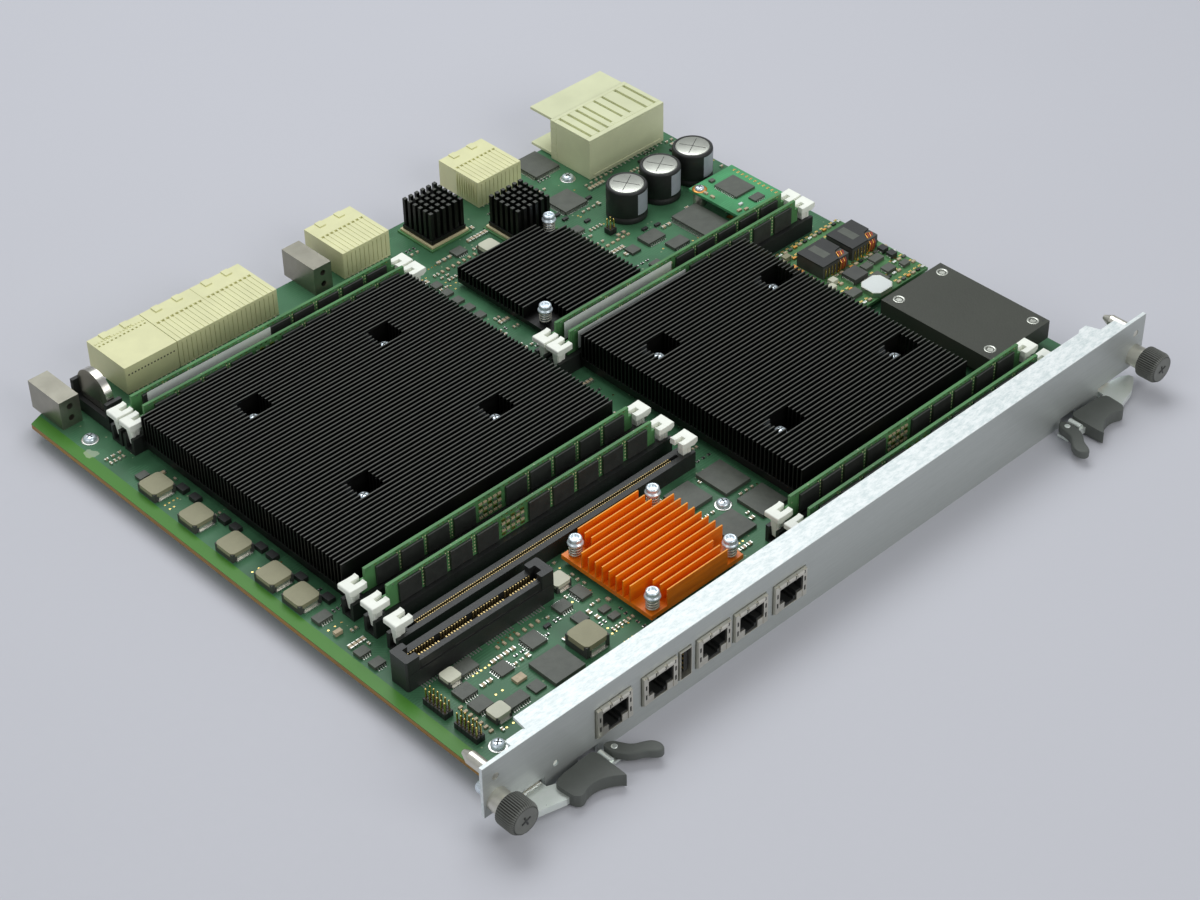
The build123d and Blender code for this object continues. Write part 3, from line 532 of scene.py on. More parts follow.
packs = Maker("sink_package_rims")
for x, y in CPU_CENTRES:
    packs.block(x, y, 42, 42, 0, 3, "package")
packs.block(204.7, 199.6, 37.5, 37.5, 0, 2, "package")
packs.block(*ORANGE_CENTRE, 31, 31, 0, 2.6, "package")
for x, y in PIN_SINKS:
    packs.block(x, y, 22.6, 22.6, 0, 0.9, "daughter")
    packs.block(x, y, 20.8, 20.8, 0.9, 2, "package")
packs.done("board", ("sink_packages",), bevel=0.15)

# knurled knobs: rings of ridges and grooves (groove radius, ridge radius, y), a dished end with a cross; the
# groove floors and the cross are painted shade
KNOB_Z, TEETH = 4.3, 44
KNURL = ((5.3, 5.4, -5.3), (5.7, 6.2, -5.9), (5.7, 6.35, -6.5), (5.7, 6.35, -12.5), (5.7, 6.15, -13.1),
         (5.6, 5.65, -13.8), (5.4, 5.4, -14.2))
KNOB_END = ((5.4, 14.2), (5.2, 14.2), (5.1, 13.6), (4.4, 13.6), (4.3, 14), (2.6, 14.05), (2.3, 13.9))
for name, x in (("thumbscrew_left", -6.5), ("thumbscrew_right", 332.5)):
    knob = Maker(name + "_knob", name)
    ridge = knob.slot("knob")
    groove = knob.slot("dark_hole")
    steps = TEETH * 4
    rings = []
    for r0, r1, y in KNURL:
        ring = []
        for i in range(steps):
            a = 2 * math.pi * i / steps
            r = r1 if i % 4 in (0, 1) else r0
            ring.append(knob.bm.verts.new(spot(x + r * math.cos(a), y, KNOB_Z + r * math.sin(a))))
        rings.append(ring)
    # the faces at the groove floors take the dark colour, a painted shade
    for lower, upper in zip(rings, rings[1:]):
        for i in range(steps):
            j = (i + 1) % steps
            knob.face((lower[i], lower[j], upper[j], upper[i]), groove if i % 4 == 2 else ridge)
    knob.face(rings[0], ridge)
    knob.lathe((x, 0, KNOB_Z), (0, -1, 0), KNOB_END, "knob", 48)
    # the cross on the dished end: dark lines of painted shade where its slots are
    for turn in (0.35, 0.35 + math.pi / 2):
        dx, dz = 2 * math.cos(turn), 2 * math.sin(turn)
        knob.tube([(x - dx, -14.12, KNOB_Z - dz), (x + dx, -14.12, KNOB_Z + dz)], 0.42, "dram", 6)
    knob.lathe((x, 0, KNOB_Z), (0, 1, 0), [(2.45, -5.4), (2.45, 7.6), (1.9, 8.6)], "bright")
    knob.done("black_plastic", (name,))


# where the CAD solids stand, in board millimetres

def islands(name):
    """Boxes of the separate solids of a CAD node, as (x0, x1, y0, y1, z0, z1)."""
    mesh = NODES[name].data
    keys = [tuple(round(c * 1e5) for c in v.co) for v in mesh.vertices]
    parent = {key: key for key in keys}

    def root(key):
        while parent[key] != key:
            parent[key] = parent[parent[key]]
            key = parent[key]
        return key

    for poly in mesh.polygons:
        first = root(keys[poly.vertices[0]])
        for index in poly.vertices[1:]:
            parent[root(keys[index])] = first
    groups = {}
    for key, vert in zip(keys, mesh.vertices):
        groups.setdefault(root(key), []).append(vert.co)
    boxes = []
    for points in groups.values():
        xs = [p.x * MM + BOARD_W / 2 for p in points]
        ys = [p.y * MM + PANEL_T / 2 for p in points]
        zs = [p.z * MM + FOOT for p in points]
        boxes.append((min(xs), max(xs), min(ys), max(ys), min(zs), max(zs)))
    return sorted(boxes)


SKIP = ("main_board", "front_panel", "handle_brackets", "cpu_back_plates")
TAKEN = []
for node_name in sorted(NODES):
    if node_name not in SKIP:
        TAKEN += [b for b in islands(node_name) if b[5] > 0]


def free(x, y, w, d, margin=0.5):
    for b in TAKEN:
        if b[0] - margin < x + w / 2 and x - w / 2 < b[1] + margin:
            if b[2] - margin < y + d / 2 and y - d / 2 < b[3] + margin:
                return False
    return True


def take(x, y, w, d, h=1):
    TAKEN.append((x - w / 2, x + w / 2, y - d / 2, y + d / 2, 0, h))


for x, y in PIN_SINKS:
    take(x, y, 20, 20)

# packages: tops stay blank; gull-wing leads stand around each one
FRONT_BACK = ("front", "back")
LEFT_RIGHT = ("left", "right")


def leads(maker, b, pitch, sides, z=0, reach=1.1):
    """Leads of three short boxes around a package's box b, down to height z."""
    x0, x1, y0, y1, z0, z1 = b
    mid = z + (z1 - z0) * 0.55
    w = pitch * 0.24
    for side in sides:
        edge, sign, lo, hi = {"front": (y0, -1, x0, x1), "back": (y1, 1, x0, x1),
                              "left": (x0, -1, y0, y1), "right": (x1, 1, y0, y1)}[side]
        count = max(2, int((hi - lo - 0.6) / pitch))
        for i in range(count):
            c = (lo + hi) / 2 + (i - (count - 1) / 2) * pitch
            for a0, a1, h0, h1 in ((0, 0.45, mid - 0.12, mid), (0.33, 0.47, z + 0.04, mid),
                                   (0.4, reach, z, z + 0.14)):
                row, out = (c - w, c + w), (edge + sign * a0, edge + sign * a1)
                spans = row + out if side in FRONT_BACK else out + row
                maker.box(*spans, h0, h1, "solder")


chip_leads = Maker("chip_leads")
for b in islands("logic_chips"):
    w, d, h = b[1] - b[0], b[3] - b[2], b[5] - b[4]
    large = w > 12 and d > 12
    if h > 4 or b[4] > 1 or (large and b[0] < 200):
        continue
    if large:
        leads(chip_leads, b, 0.65, FRONT_BACK + LEFT_RIGHT, b[4])
    elif w >= d and w > 5.5:
        leads(chip_leads, b, 1, FRONT_BACK, b[4])
    elif w > 5.5 or d > 5.5:
        leads(chip_leads, b, 1, LEFT_RIGHT, b[4])
    chip_leads.post(b[0] + 0.9, b[3] - 0.9, b[5], [(0.28, 0), (0.28, 0.012)], "ferrite", 12)

# capacitors beside the left heatsink, and the margins' packages as (x, y, width, depth, height, material)
SINK_SIDE_CAPS = [(17.6, 202.4), (17.6, 194.6), (17.8, 177.2), (17.8, 170.4), (17.8, 155.2), (17.8, 148.6),
                  (17.8, 132), (17.8, 116.6)]
for x, y in SINK_SIDE_CAPS:
    if free(x, y, 3.4, 4.6, 0):
        chip_leads.block(x, y, 3.2, 4.4, 0, 2, "black")
        take(x, y, 3.6, 4.8)
STRIP_PACKAGES = [
    (11.4, 219.6, 4.6, 3.6, 1.4, "chip"), (14.5, 224, 5, 4, 1.5, "chip"),
    (9.8, 110.4, 6.4, 4.4, 1.7, "chip"), (9.8, 104.4, 6.4, 4.2, 1.7, "black"),
    (8.9, 100.5, 3.2, 1.8, 1.8, "ceramic"), (8.5, 97.2, 3.2, 1.8, 1.8, "ceramic"),
    (8.6, 86.9, 5, 4, 1.5, "chip"), (8.8, 79, 5, 4, 1.5, "chip"),
    (317, 28.4, 4.6, 3.4, 2.2, "gold"), (283.6, 146.6, 5, 3.6, 1.9, "ceramic"),
    (270.6, 160.2, 5.4, 4, 1.5, "chip"), (246.5, 180.5, 5, 4, 1.5, "chip"),
    (240.6, 222, 4.4, 4.4, 1.4, "chip")]
for x, y, w, d, h, key in STRIP_PACKAGES:
    if not free(x, y, w, d + 2, 0):
        continue
    chip_leads.block(x, y, w, d, 0.12, h, key)
    take(x, y, w + 0.6, d + 2.4)
    if key in ("chip", "black"):
        leads(chip_leads, (x - w / 2, x + w / 2, y - d / 2, y + d / 2, 0, h), 1, FRONT_BACK)
    else:
        for side in (-1, 1):
            chip_leads.block(x + side * w / 2, y, 0.5, d * 0.7, 0, h * 0.6, "solder")
chip_leads.done("black_plastic")

# power inductors: flat light plate on top, terminals at the ends
coils = Maker("inductor_plates")
for x0, x1, y0, y1, z0, z1 in islands("magnetics"):
    if z0 > 1:
        continue
    cx, wide = (x0 + x1) / 2, x1 - x0
    plate = [(x0 - 0.1, y0 - 0.1), (x1 + 0.1, y0 - 0.1), (x1 + 0.1, y1 + 0.1), (x0 - 0.1, y1 + 0.1)]
    coils.prism(rounded(plate, 3, 0.12), z1 * 0.62, z1 + 0.4, "coil_tan" if wide > 9 else "coil_light")
    for sign, edge in ((-1, y0), (1, y1)):
        for half, reach, lo, hi, key in ((0.36, 0.9, 0, 0.7, "solder"), (0.3, 0.12, 0.4, z1 * 0.6, "nickel")):
            coils.bar(cx, wide * half, edge - sign * 0.01, edge + sign * reach, lo, hi, key)
coils.done("ferrite", bevel=0.12)

# small parts: seeded rows of resistors, capacitors and three-legged packages in the free areas
small = Maker("surface_parts")
rng = random.Random(7)
PART_SIZES = {"r": (1.6, 0.8, 0.45, "black"), "c": (1.6, 0.85, 0.8, "ceramic"),
              "b": (2.2, 1.4, 0.9, "ceramic")}


def chip_part(x, y, turn, kind):
    """A body between two soldered ends, lengthwise in x, or in y when turned."""
    w, d, h, body = PART_SIZES[kind]
    for a, b, grow, key in ((-0.3, 0.3, 0, body), (-0.5, -0.3, 0.02, "solder"), (0.3, 0.5, 0.02, "solder")):
        along, across = (w * a, w * b), (-d / 2 - grow, d / 2 + grow)
        (x0, x1), (y0, y1) = (across, along) if turn else (along, across)
        small.box(x + x0, x + x1, y + y0, y + y1, 0, h + grow, key)


def three_legs(x, y):
    small.bar(x, 1.4, y - 0.7, y + 0.7, 0.1, 1, "black")
    for dx in (-0.9, 0.9):
        small.bar(x + dx, 0.2, y - 1.2, y - 0.6, 0, 0.2, "solder")
    small.bar(x, 0.2, y + 0.6, y + 1.2, 0, 0.2, "solder")


# x0, x1, y0, y1 and the chance of a run of parts
FREE_AREAS = [
    (6.5, 19.8, 75, 258, 0.5), (18, 88, 22, 59, 0.62), (78, 89, 26, 76, 0.5),
    (139, 176, 30, 96, 0.42), (156, 173, 104, 262, 0.5), (172, 262, 164, 236, 0.45),
    (60, 262, 229, 263.5, 0.45), (236, 322, 150, 246, 0.42), (172, 321, 8, 14, 0.35),
    (270, 321, 20, 96, 0.4), (137, 160, 100, 108, 0.3), (2, 138, 14, 26, 0.35)]
for x0, x1, y0, y1, chance in FREE_AREAS:
    y = y0 + 1.5
    while y < y1:
        x = x0 + 1.2
        turn = rng.random() < 0.5
        run = 0
        while x < x1:
            if run == 0:
                run = rng.randint(2, 6)
                turn = rng.random() < 0.5
                kind = rng.choice(["r", "c", "c", "b", "gap", "gap", "sot", "pad"])
                if rng.random() > chance:
                    kind = "gap"
            run -= 1
            if kind in PART_SIZES:
                w, d = (1.3, 2.4) if turn else (2.4, 1.3)
                if free(x, y, w, d):
                    chip_part(x, y, turn, kind)
                    take(x, y, w, d)
            elif kind == "sot" and run == 0 and free(x, y, 3.2, 3):
                three_legs(x, y)
                take(x, y, 3.2, 3)
            elif kind == "pad" and free(x, y, 1.4, 1.4):
                small.post(x, y, 0, [(0.45, -0.02), (0.45, 0.03)], "gold", 10)
            x += 1.9 if turn else 3
        y += 3.1
small.done("board")

# memory modules: nine packages a side with a group of small parts before the fifth, dots of vias between
CHIP_OFFSETS = (-55.3, -43.5, -31.3, -18.6, 6.7, 18.8, 31.3, 44.1, 56.7)
packages = Maker("memory_package_blocks")
memory = Maker("memory_details")
for index, (x0, x1, y0, y1, z0, z1) in enumerate(islands("memory_modules")):
    mid = (x0 + x1) / 2
    for sign, face in ((-1, y0), (1, y1)):
        dot, part = face + sign * 0.03, face + sign * 0.5
        for offset in CHIP_OFFSETS:
            x = mid + offset
            packages.bar(x, 5.05, face, face + sign * 1.1, 8.1, 16.6, "dram")
            for k in range(7):
                memory.box(x - 4.4 + k * 1.37, x - 3.7 + k * 1.37, face, part, 7.7, 7.98, "solder")
        for left, right in zip(CHIP_OFFSETS, CHIP_OFFSETS[1:]):
            x = mid + (left + right) / 2
            if right - left > 20:
                for k in range(5):
                    z = 8.6 + k * 1.6
                    for dx in (-4.6, -2.4, 0, 2.4, 4.6):
                        key = ("gold", "ceramic", "solder", "ceramic")[(k + int(dx) + index) % 4]
                        memory.bar(x + dx, 0.8, face, part, z, z + 0.8, key)
                continue
            for k in range(6):
                z = 8.6 + k * 1.5
                for dx in (-0.62, 0.62):
                    memory.bar(x + dx, 0.26, face, dot, z, z + 0.55, "cream")
        for i in range(52):
            x = x0 + 4.2 + i * 2.45
            memory.bar(x, 0.5, face, dot, z1 - 0.85, z1 - 0.5, "gold" if i % 4 else "solder")
packages.done("black_plastic", ("memory_chips",), bevel=0.08)
memory.done("board")

# blank labels on the front packages of three modules
CHIP_FACE = 0.635 + 1.13
labels = Maker("blank_labels")
for y, x0 in ((243.3, 32), (163, 176), (155, 176)):
    labels.box(x0, x0 + 60, y - CHIP_FACE - 0.05, y - CHIP_FACE, 9, 17.2, "label")
labels.done("grey_plastic")

# contact rows in the empty memory socket
EMPTY_SOCKET_X, EMPTY_SOCKET_Y = 28, 79.8
contacts = Maker("gold_contact_rows")
for i in range(126):
    x = EMPTY_SOCKET_X + i
    for sign in (-1, 1):
        contacts.bar(x, 0.28, EMPTY_SOCKET_Y + sign * 0.5, EMPTY_SOCKET_Y + sign * 0.82, 5.9, 7.56,
                     "old_gold")
contacts.done("nickel")

# header pins
pins = Maker("header_pins")
for cx, cy, nx, ny in ((9.4, 47.5, 2, 6), (9.4, 31.4, 2, 6), (250, 211.5, 2, 2)):
    for i in range(nx):
        for j in range(ny):
            x = cx + (i - (nx - 1) / 2) * 2
            y = cy + (j - (ny - 1) / 2) * 1.95
            pins.bar(x, 0.92, y - 0.9, y + 0.9, 0, 2.6, "black")
            pins.bar(x, 0.28, y - 0.28, y + 0.28, 2.5, 7, "gold")
            pins.bar(x, 0.18, y - 0.18, y + 0.18, 6.9, 7.2, "gold")
pins.done("black_plastic", ("pin_headers",), bevel=0.08)

# capacitors: shrink sleeve, rolled rim, scored silver top, and a stripe down the side
STRIPE_START, STRIPE_STEP = 258, 3.8
cans = Maker("capacitor_cans")
for x0, x1, y0, y1, _, top in islands("capacitors"):
    x, y, r = (x0 + x1) / 2, (y0 + y1) / 2, (x1 - x0) / 2
    cans.post(x, y, 0, [(r - 0.5, 0), (r - 0.1, 0.25), (r, 0.8), (r, 2.2), (r - 0.45, 2.7), (r - 0.45, 3.1),
                        (r, 3.6), (r, top - 1.1), (r - 0.12, top - 0.5), (r - 0.5, top - 0.12),
                        (r - 1, top), (r - 1.3, top - 0.1), (r - 1.35, top - 0.9)], "black", 64)
    cans.post(x, y, top, [(r - 1.36, -1), (r - 1.36, -0.2), (r - 1.9, -0.08), (0.5, -0.08)], "can", 64)
    # the vent's scoring drawn as dark lines of painted shade
    cans.cross(x, y, top - 0.12, r - 3, 0.5, 0.16)
    for k in range(12):
        a0, a1 = (math.radians(STRIPE_START + n * STRIPE_STEP) for n in (k, k + 1))
        corners = ((a0, 4.2), (a1, 4.2), (a1, top - 1.4), (a0, top - 1.4))
        inner, outer = ([(x + s * math.cos(a), y + s * math.sin(a), z) for a, z in corners]
                        for s in (r - 0.1, r + 0.02))
        cans.loft(inner, outer, "stripe")
cans.done("black_plastic", ("capacitors",))

# jacks: folded shields with spring tabs and windows, contact combs and plastic inserts inside
JACKS = (46.4, 68, 94.3, 112.8, 133)
MOUTH, JACK_END, JACK_TOP, SHEET = -0.9, 15.4, 13, 0.35
shields = Maker("jack_shields")


def sheet_box(x0, x1, y1, z0, z1):
    shields.box(x0, x1, MOUTH, y1, z0, z1, "nickel")


for x in JACKS:
    x0, x1, y0, z1, t = x - 8.2, x + 8.2, MOUTH, JACK_TOP, SHEET
    sheet_box(x0, x1, JACK_END, z1 - t, z1)
    sheet_box(x0, x0 + t, JACK_END, 0, z1 - t)
    sheet_box(x1 - t, x1, JACK_END, 0, z1 - t)
    sheet_box(x0 + t, x1 - t, JACK_END, 0, t)
    shields.box(x0 + t, x1 - t, JACK_END - t, JACK_END, 0, z1 - t, "nickel")
    for side in (-1, 1):
        shields.box(x + side * 6, x + side * 8.1, y0 - 0.45, y0 + t, t, z1 - t, "nickel")
        for lo, hi in ((3, 5.2), (7.4, 9.4)):
            shields.box(x + side * 6.7, x + side * 7.4, y0 - 0.5, y0 - 0.4, lo, hi, "dark_hole")
        shields.box(x + side * 3.2, x + side * 6.1, y0 - 0.2, y0 + t, 0.2, 3.6, "nickel")
    shields.box(x0 + 2.1, x1 - 2.1, y0 - 0.45, y0 + t, z1 - 2.3, z1 - t, "nickel")
    tab = [(y0 - 0.3, z1 - 1.9), (y0 - 0.95, z1 - 0.9), (y0 - 0.6, z1 - 0.1), (y0 + 0.5, z1 + 0.2),
           (y0 + 0.5, z1 - 0.2)]
    for dx in (-4.6, 0, 4.6):
        shields.prism(tab, x + dx - 1.7, x + dx + 1.7, "nickel", "x")
        shields.box(x + dx + 1.9, x + dx + 2.5, y0 - 0.5, y0 - 0.4, z1 - 2, z1 - 0.6, "dark_hole")
    for i in range(8):
        cx = x + (i - 3.5) * 1.02
        shields.tube([(cx, 1.2, 11.3), (cx, 4, 11), (cx, 9.5, 8.4), (cx, 11.5, 8)], 0.16, "gold", 6)
SERIAL_X, SERIAL_HALF, SERIAL_END = 80.6, 2.85, 14
for z in (0, JACK_TOP - SHEET):
    sheet_box(SERIAL_X - SERIAL_HALF, SERIAL_X + SERIAL_HALF, SERIAL_END, z, z + SHEET)
for x in (SERIAL_X - SERIAL_HALF, SERIAL_X + SERIAL_HALF - SHEET):
    sheet_box(x, x + SHEET, SERIAL_END, SHEET, JACK_TOP - SHEET)
for i in range(4):
    z = 3.2 + i * 2.2
    shields.box(SERIAL_X + 0.08, SERIAL_X + 0.22, 0.8, 8, z - 0.5, z + 0.5, "gold")
shields.done("nickel", ("port_shells",), bevel=0.1)
inserts = Maker("jack_inserts")
for x in JACKS:
    inserts.bar(x, 7.8, 12.5, 15, 0.4, 12.6, "black")
    inserts.bar(x, 5.9, -0.5, 12.5, 11.4, 12.6, "black")
    inserts.bar(x, 2, -0.5, 12.5, 0.4, 1.2, "black")
    for side in (-1, 1):
        for a, b, z in ((5.9, 7.8, 12.6), (3.2, 5.9, 4.2), (2, 3.2, 2.4)):
            inserts.box(x + side * a, x + side * b, -0.5, 12.5, 0.4, z, "black")
inserts.bar(SERIAL_X, 2.45, 9.6, 12.6, 0.4, JACK_TOP - 0.4, "black")
inserts.box(SERIAL_X + 0.2, SERIAL_X + 2, 0.6, 9.8, 1.4, JACK_TOP - 1.4, "black")
inserts.done("black_plastic", ("port_inserts",), bevel=0.12)

# handles: moulded grips and triggers with rounded edges
GRIP = [(15, -3.4), (33.3, -2.1), (35, -3.7), (35.1, -18.9), (33.6, -17.2), (31, -15.3), (27.5, -13.7),
        (24, -13.1), (21, -13.6), (18.8, -14.7), (17.2, -14.6), (15.6, -12.6)]
TRIGGER = [(38.8, -1.9), (42.8, -2.8), (44.9, -6.8), (46.5, -9.2), (50.2, -10.9), (52.7, -12.5),
           (54, -15.4), (53.2, -18), (51.3, -18.7), (49.2, -17.2), (46.9, -14.6), (43.4, -13.2),
           (40.8, -10.6), (38.8, -6.4)]
CENTRE = 163
PIVOT = (41.2, -5.8)


def turned(points, pivot, angle):
    px, py = pivot
    c, s = math.cos(angle), math.sin(angle)
    return [(px + (x - px) * c - (y - py) * s, py + (x - px) * s + (y - py) * c) for x, y in points]


def flipped(points):
    return [(2 * CENTRE - x, y) for x, y in reversed(points)]


for side in ("left", "right"):
    grip_outline, trigger_outline, (px, py) = rounded(GRIP, 2, 0.16), rounded(TRIGGER, 3, 0.25), PIVOT
    if side == "right":
        px = 2 * CENTRE - px
        grip_outline = flipped(grip_outline)
        trigger_outline = turned(flipped(trigger_outline), (px, py), math.radians(18))
    grip = Maker("grip_moulding_" + side, "handle_" + side)
    grip.prism(grip_outline, -6.9, -1.6, "grip")
    grip.done("black_plastic", ("grip_" + side,), bevel=0.6)
    trigger = Maker("trigger_moulding_" + side, "trigger_" + side)
    trigger.prism(trigger_outline, -5.35, -1.75, "grip")
    trigger.done("black_plastic", ("trigger_" + side,), bevel=0.7)
    pin = Maker("trigger_pin_" + side, "handle_" + side)
    pin.post(px, py, 0, [(1.2, -5), (1.2, -1.72), (0.9, -1.66)], "zinc", 20)
    pin.done("nickel")

# latches: stem with ribs and a cross pin, notched head with two ears and a finger lip; outlines run outwards
# from the middle of the socket, and a bank is (number, middle, rows)
STEM = ((69, 2.7), (72, 2.7), (73.2, 12.2), (68.4, 12.2))
EAR = ((66.4, 11.9), (70.6, 11.6), (70.6, 14.35), (67.6, 14.35), (66.4, 14.75))
LIP = ((70.3, 11.6), (72.6, 11.2), (74.4, 12.3), (74.4, 14.2), (74, 14.55), (70.3, 14.35))
LATCH_PARTS = ((STEM, -1.45, 1.45), (EAR, -3.45, -0.95), (EAR, 0.95, 3.45), (LIP, -3.45, 3.45))
BANKS = ((1, 90.5, (104.6, 92.2, 79.8)), (2, 90.5, (243.3, 235.2)), (3, 237.8, (163, 155)),
         (4, 225.5, (25.8, 16.2)))
for bank, cx, rows_y in BANKS:
    for row, cy in enumerate(rows_y):
        for sign, side in ((-1, "left"), (1, "right")):
            tag = "%d%s_%s" % (bank, "ABC"[row], side)
            piece = Maker("latch_head_" + tag, "latch_" + tag)
            for outline, y0, y1 in LATCH_PARTS:
                piece.prism([(cx + sign * a, z) for a, z in outline][::sign], cy + y0, cy + y1, "latch", "y")
            piece.lathe((cx + sign * 70.5, cy, 4), (0, 1, 0), [(0.95, -2.3), (0.95, 2.3)], "latch", 16)
            for y in (-1.9, 1.2):
                piece.box(cx + sign * 71, cx + sign * 72.4, cy + y, cy + y + 0.7, 7, 11.6, "latch")
            piece.done("cream_plastic", ("latch_" + tag,), bevel=0.22)

# brick: countersunk screws in light rings, their sockets a dark ring of painted shade, and blind holes at the
# corners as black discs of painted shade
RING = ((2.5, -0.3), (2.5, 0.05), (2.35, 0.12), (1.8, 0.1), (1.4, -0.15), (1.2, -0.5))
brick = Maker("brick_screws")
for sx in (-1, 1):
    for sy in (-1, 1):
        x, y = 300.3 + sx * 13.3, 59.3 + sy * 23.5
        brick.post(x, y, 12, RING, "can", 32)
        # the screw's socket: a dark ring of painted shade
        brick.post(x, y, 12, [(1.15, -0.5), (0.6, -0.45)], "ferrite", 6)
        # a blind hole: a black disc of painted shade
        brick.post(299.9 + sx * 16.6, 59.3 + sy * 26.4, 12, [(0.55, -0.2), (0.55, 0.02)], "black", 16)
brick.done("nickel")

# card socket: stepped shroud between two hooked ends, slotted ledge with its slots as thin dark boxes of
# painted shade, four groups of gold contacts
END_HOOK = ((0, 60.6), (6.1, 60.6), (6.1, 63.4), (3.6, 63.4), (3.6, 67), (6.1, 67), (6.1, 69.9),
            (0, 69.9))
card = Maker("card_socket_shroud")
for z0, z1, y0, y1 in ((0, 7.2, 60.5, 63.5), (7.2, 11, 61.1, 63.5), (0, 11, 66.9, 69.9),
                       (0, 3, 63.5, 66.9)):
    card.box(8.4, 75.2, y0, y1, z0, z1, "black")
for x, sign in ((7.3, 1), (76.3, -1)):
    hook = [(x + sign * a, y) for a, y in END_HOOK][::sign]
    card.prism(rounded(hook, 1, 0.08), 0, 13.6, "black")
for x0 in (14.6, 29.6, 44.6, 59.6):
    # a slot in the ledge's face: a thin dark box of painted shade
    card.box(x0, x0 + 9, 61.02, 61.12, 7.3, 7.9, "dram")
    for i in range(10):
        x = x0 - 1.6 + i * 1.27
        for y0, y1, z0, z1 in ((63.5, 64, 4, 10.4), (63.2, 64, 10.3, 11.05), (66.4, 66.9, 4, 10.8)):
            card.bar(x, 0.3, y0, y1, z0, z1, "old_gold")
        card.bar(x, 0.28, 58.8, 60.5, 0, 0.18, "solder")
    # slots in the ledge's top: thin dark boxes of painted shade
    for i in range(4):
        card.box(x0 + 1 + i * 2.2, x0 + 1.8 + i * 2.2, 61.5, 63, 10.98, 11.03, "ferrite")
card.done("black_plastic", ("card_socket",), bevel=0.15)

# rear connectors: slatted fronts, a row of square holes in the top, stepped slots behind
ROW_Y0, ROW_Y1, CONN_H = 265, 290.5, 12.8


def between_holes(lo, hi, pitch, hole):
    """The solid runs left between evenly spaced holes."""
    count = int((hi - lo - hole) / pitch)
    first = (lo + hi) / 2 - (count - 1) * pitch / 2
    edges = [lo]
    for i in range(count):
        edges += [first + i * pitch - hole / 2, first + i * pitch + hole / 2]
    edges.append(hi)
    return list(zip(edges[::2], edges[1::2]))


def connector(maker, x0, x1, hole_y, pitch, hole, slat_pitch, slat_gap):
    """A slatted block with a row of holes at hole_y in its top, two tabs and a row of pins in front."""
    skin, back = CONN_H - 0.9, ROW_Y1 - 3
    hole_y0, hole_y1 = hole_y - hole / 2, hole_y + hole / 2
    front = ROW_Y0 + 0.8
    slats = between_holes(x0, x1, slat_pitch, slat_gap)
    boxes = [(x0, x1, front, back, 0, skin), (x0, x1, ROW_Y0, hole_y0, skin, CONN_H - 0.25)]
    boxes += [(a, b, ROW_Y0, hole_y0, CONN_H - 0.3, CONN_H) for a, b in slats]
    boxes.append((x0, x1, hole_y1, ROW_Y1, skin, CONN_H))
    boxes += [(a, b, hole_y0, hole_y1, skin, CONN_H) for a, b in between_holes(x0, x1, pitch, hole)]
    boxes += [(x0, x1, ROW_Y0, front, 0, 0.8), (x0, x1, ROW_Y0, front, CONN_H - 1.4, skin)]
    boxes += [(a, b, ROW_Y0, front, 0.8, CONN_H - 1.4) for a, b in slats]
    boxes += [(side, side + 1.4, back, ROW_Y1, 0, skin) for side in (x0, x1 - 1.4)]
    boxes += [(x0 + 1.4, x1 - 1.4, back, ROW_Y1, z0, z1)
              for z0, z1 in ((0, 1.6), (2.6, 3.9), (4.9, 6.2), (7.2, 8.5), (9.5, skin))]
    boxes += [(x0 + a, x0 + b, back - 1, ROW_Y1 - 0.2, CONN_H - 0.6, CONN_H + 0.6)
              for a, b in ((5.4, 8.7), (15.7, 19))]
    for limits in boxes:
        maker.box(*limits, "cream")
    for i in range(10):
        x = x0 + 2.3 + i * 2.25
        maker.bar(x, 0.3, ROW_Y0 - 0.9, ROW_Y0 + 0.4, 0, 0.35, "solder")


ribbed = Maker("ribbed_connectors")
for x0 in (63.3, 88.3, 148, 222.8):
    connector(ribbed, x0, x0 + 24.9, 280.4, 2.3, 1.3, 2.3, 0.2)
for k in range(9):
    y = 266.6 + k * 1.5
    ribbed.tube([(222.9, y, 1), (222.5, y, 4.5), (222.5, y, 9), (222.9, y, 12.4)], 0.3, "cream", 6)
ribbed.done("cream_plastic", ("rear_connectors_ribbed",), bevel=0.12)
smooth = Maker("smooth_connector")
connector(smooth, 37.7, 63, 284, 2, 0.9, 25.3, 0.02)
for a, b in between_holes(38.4, 62.3, 1.5, 0.8):
    smooth.box(a, b, 285.6, 286.4, CONN_H - 0.5, CONN_H + 0.3, "cream")
for i in range(15):
    x = 39.4 + i * 1.56
    smooth.bar(x, 0.35, ROW_Y0 - 0.03, ROW_Y0 + 0.1, 8.6, 9.3, "dark_hole")
smooth.done("cream_plastic", ("rear_connector_smooth",), bevel=0.12)

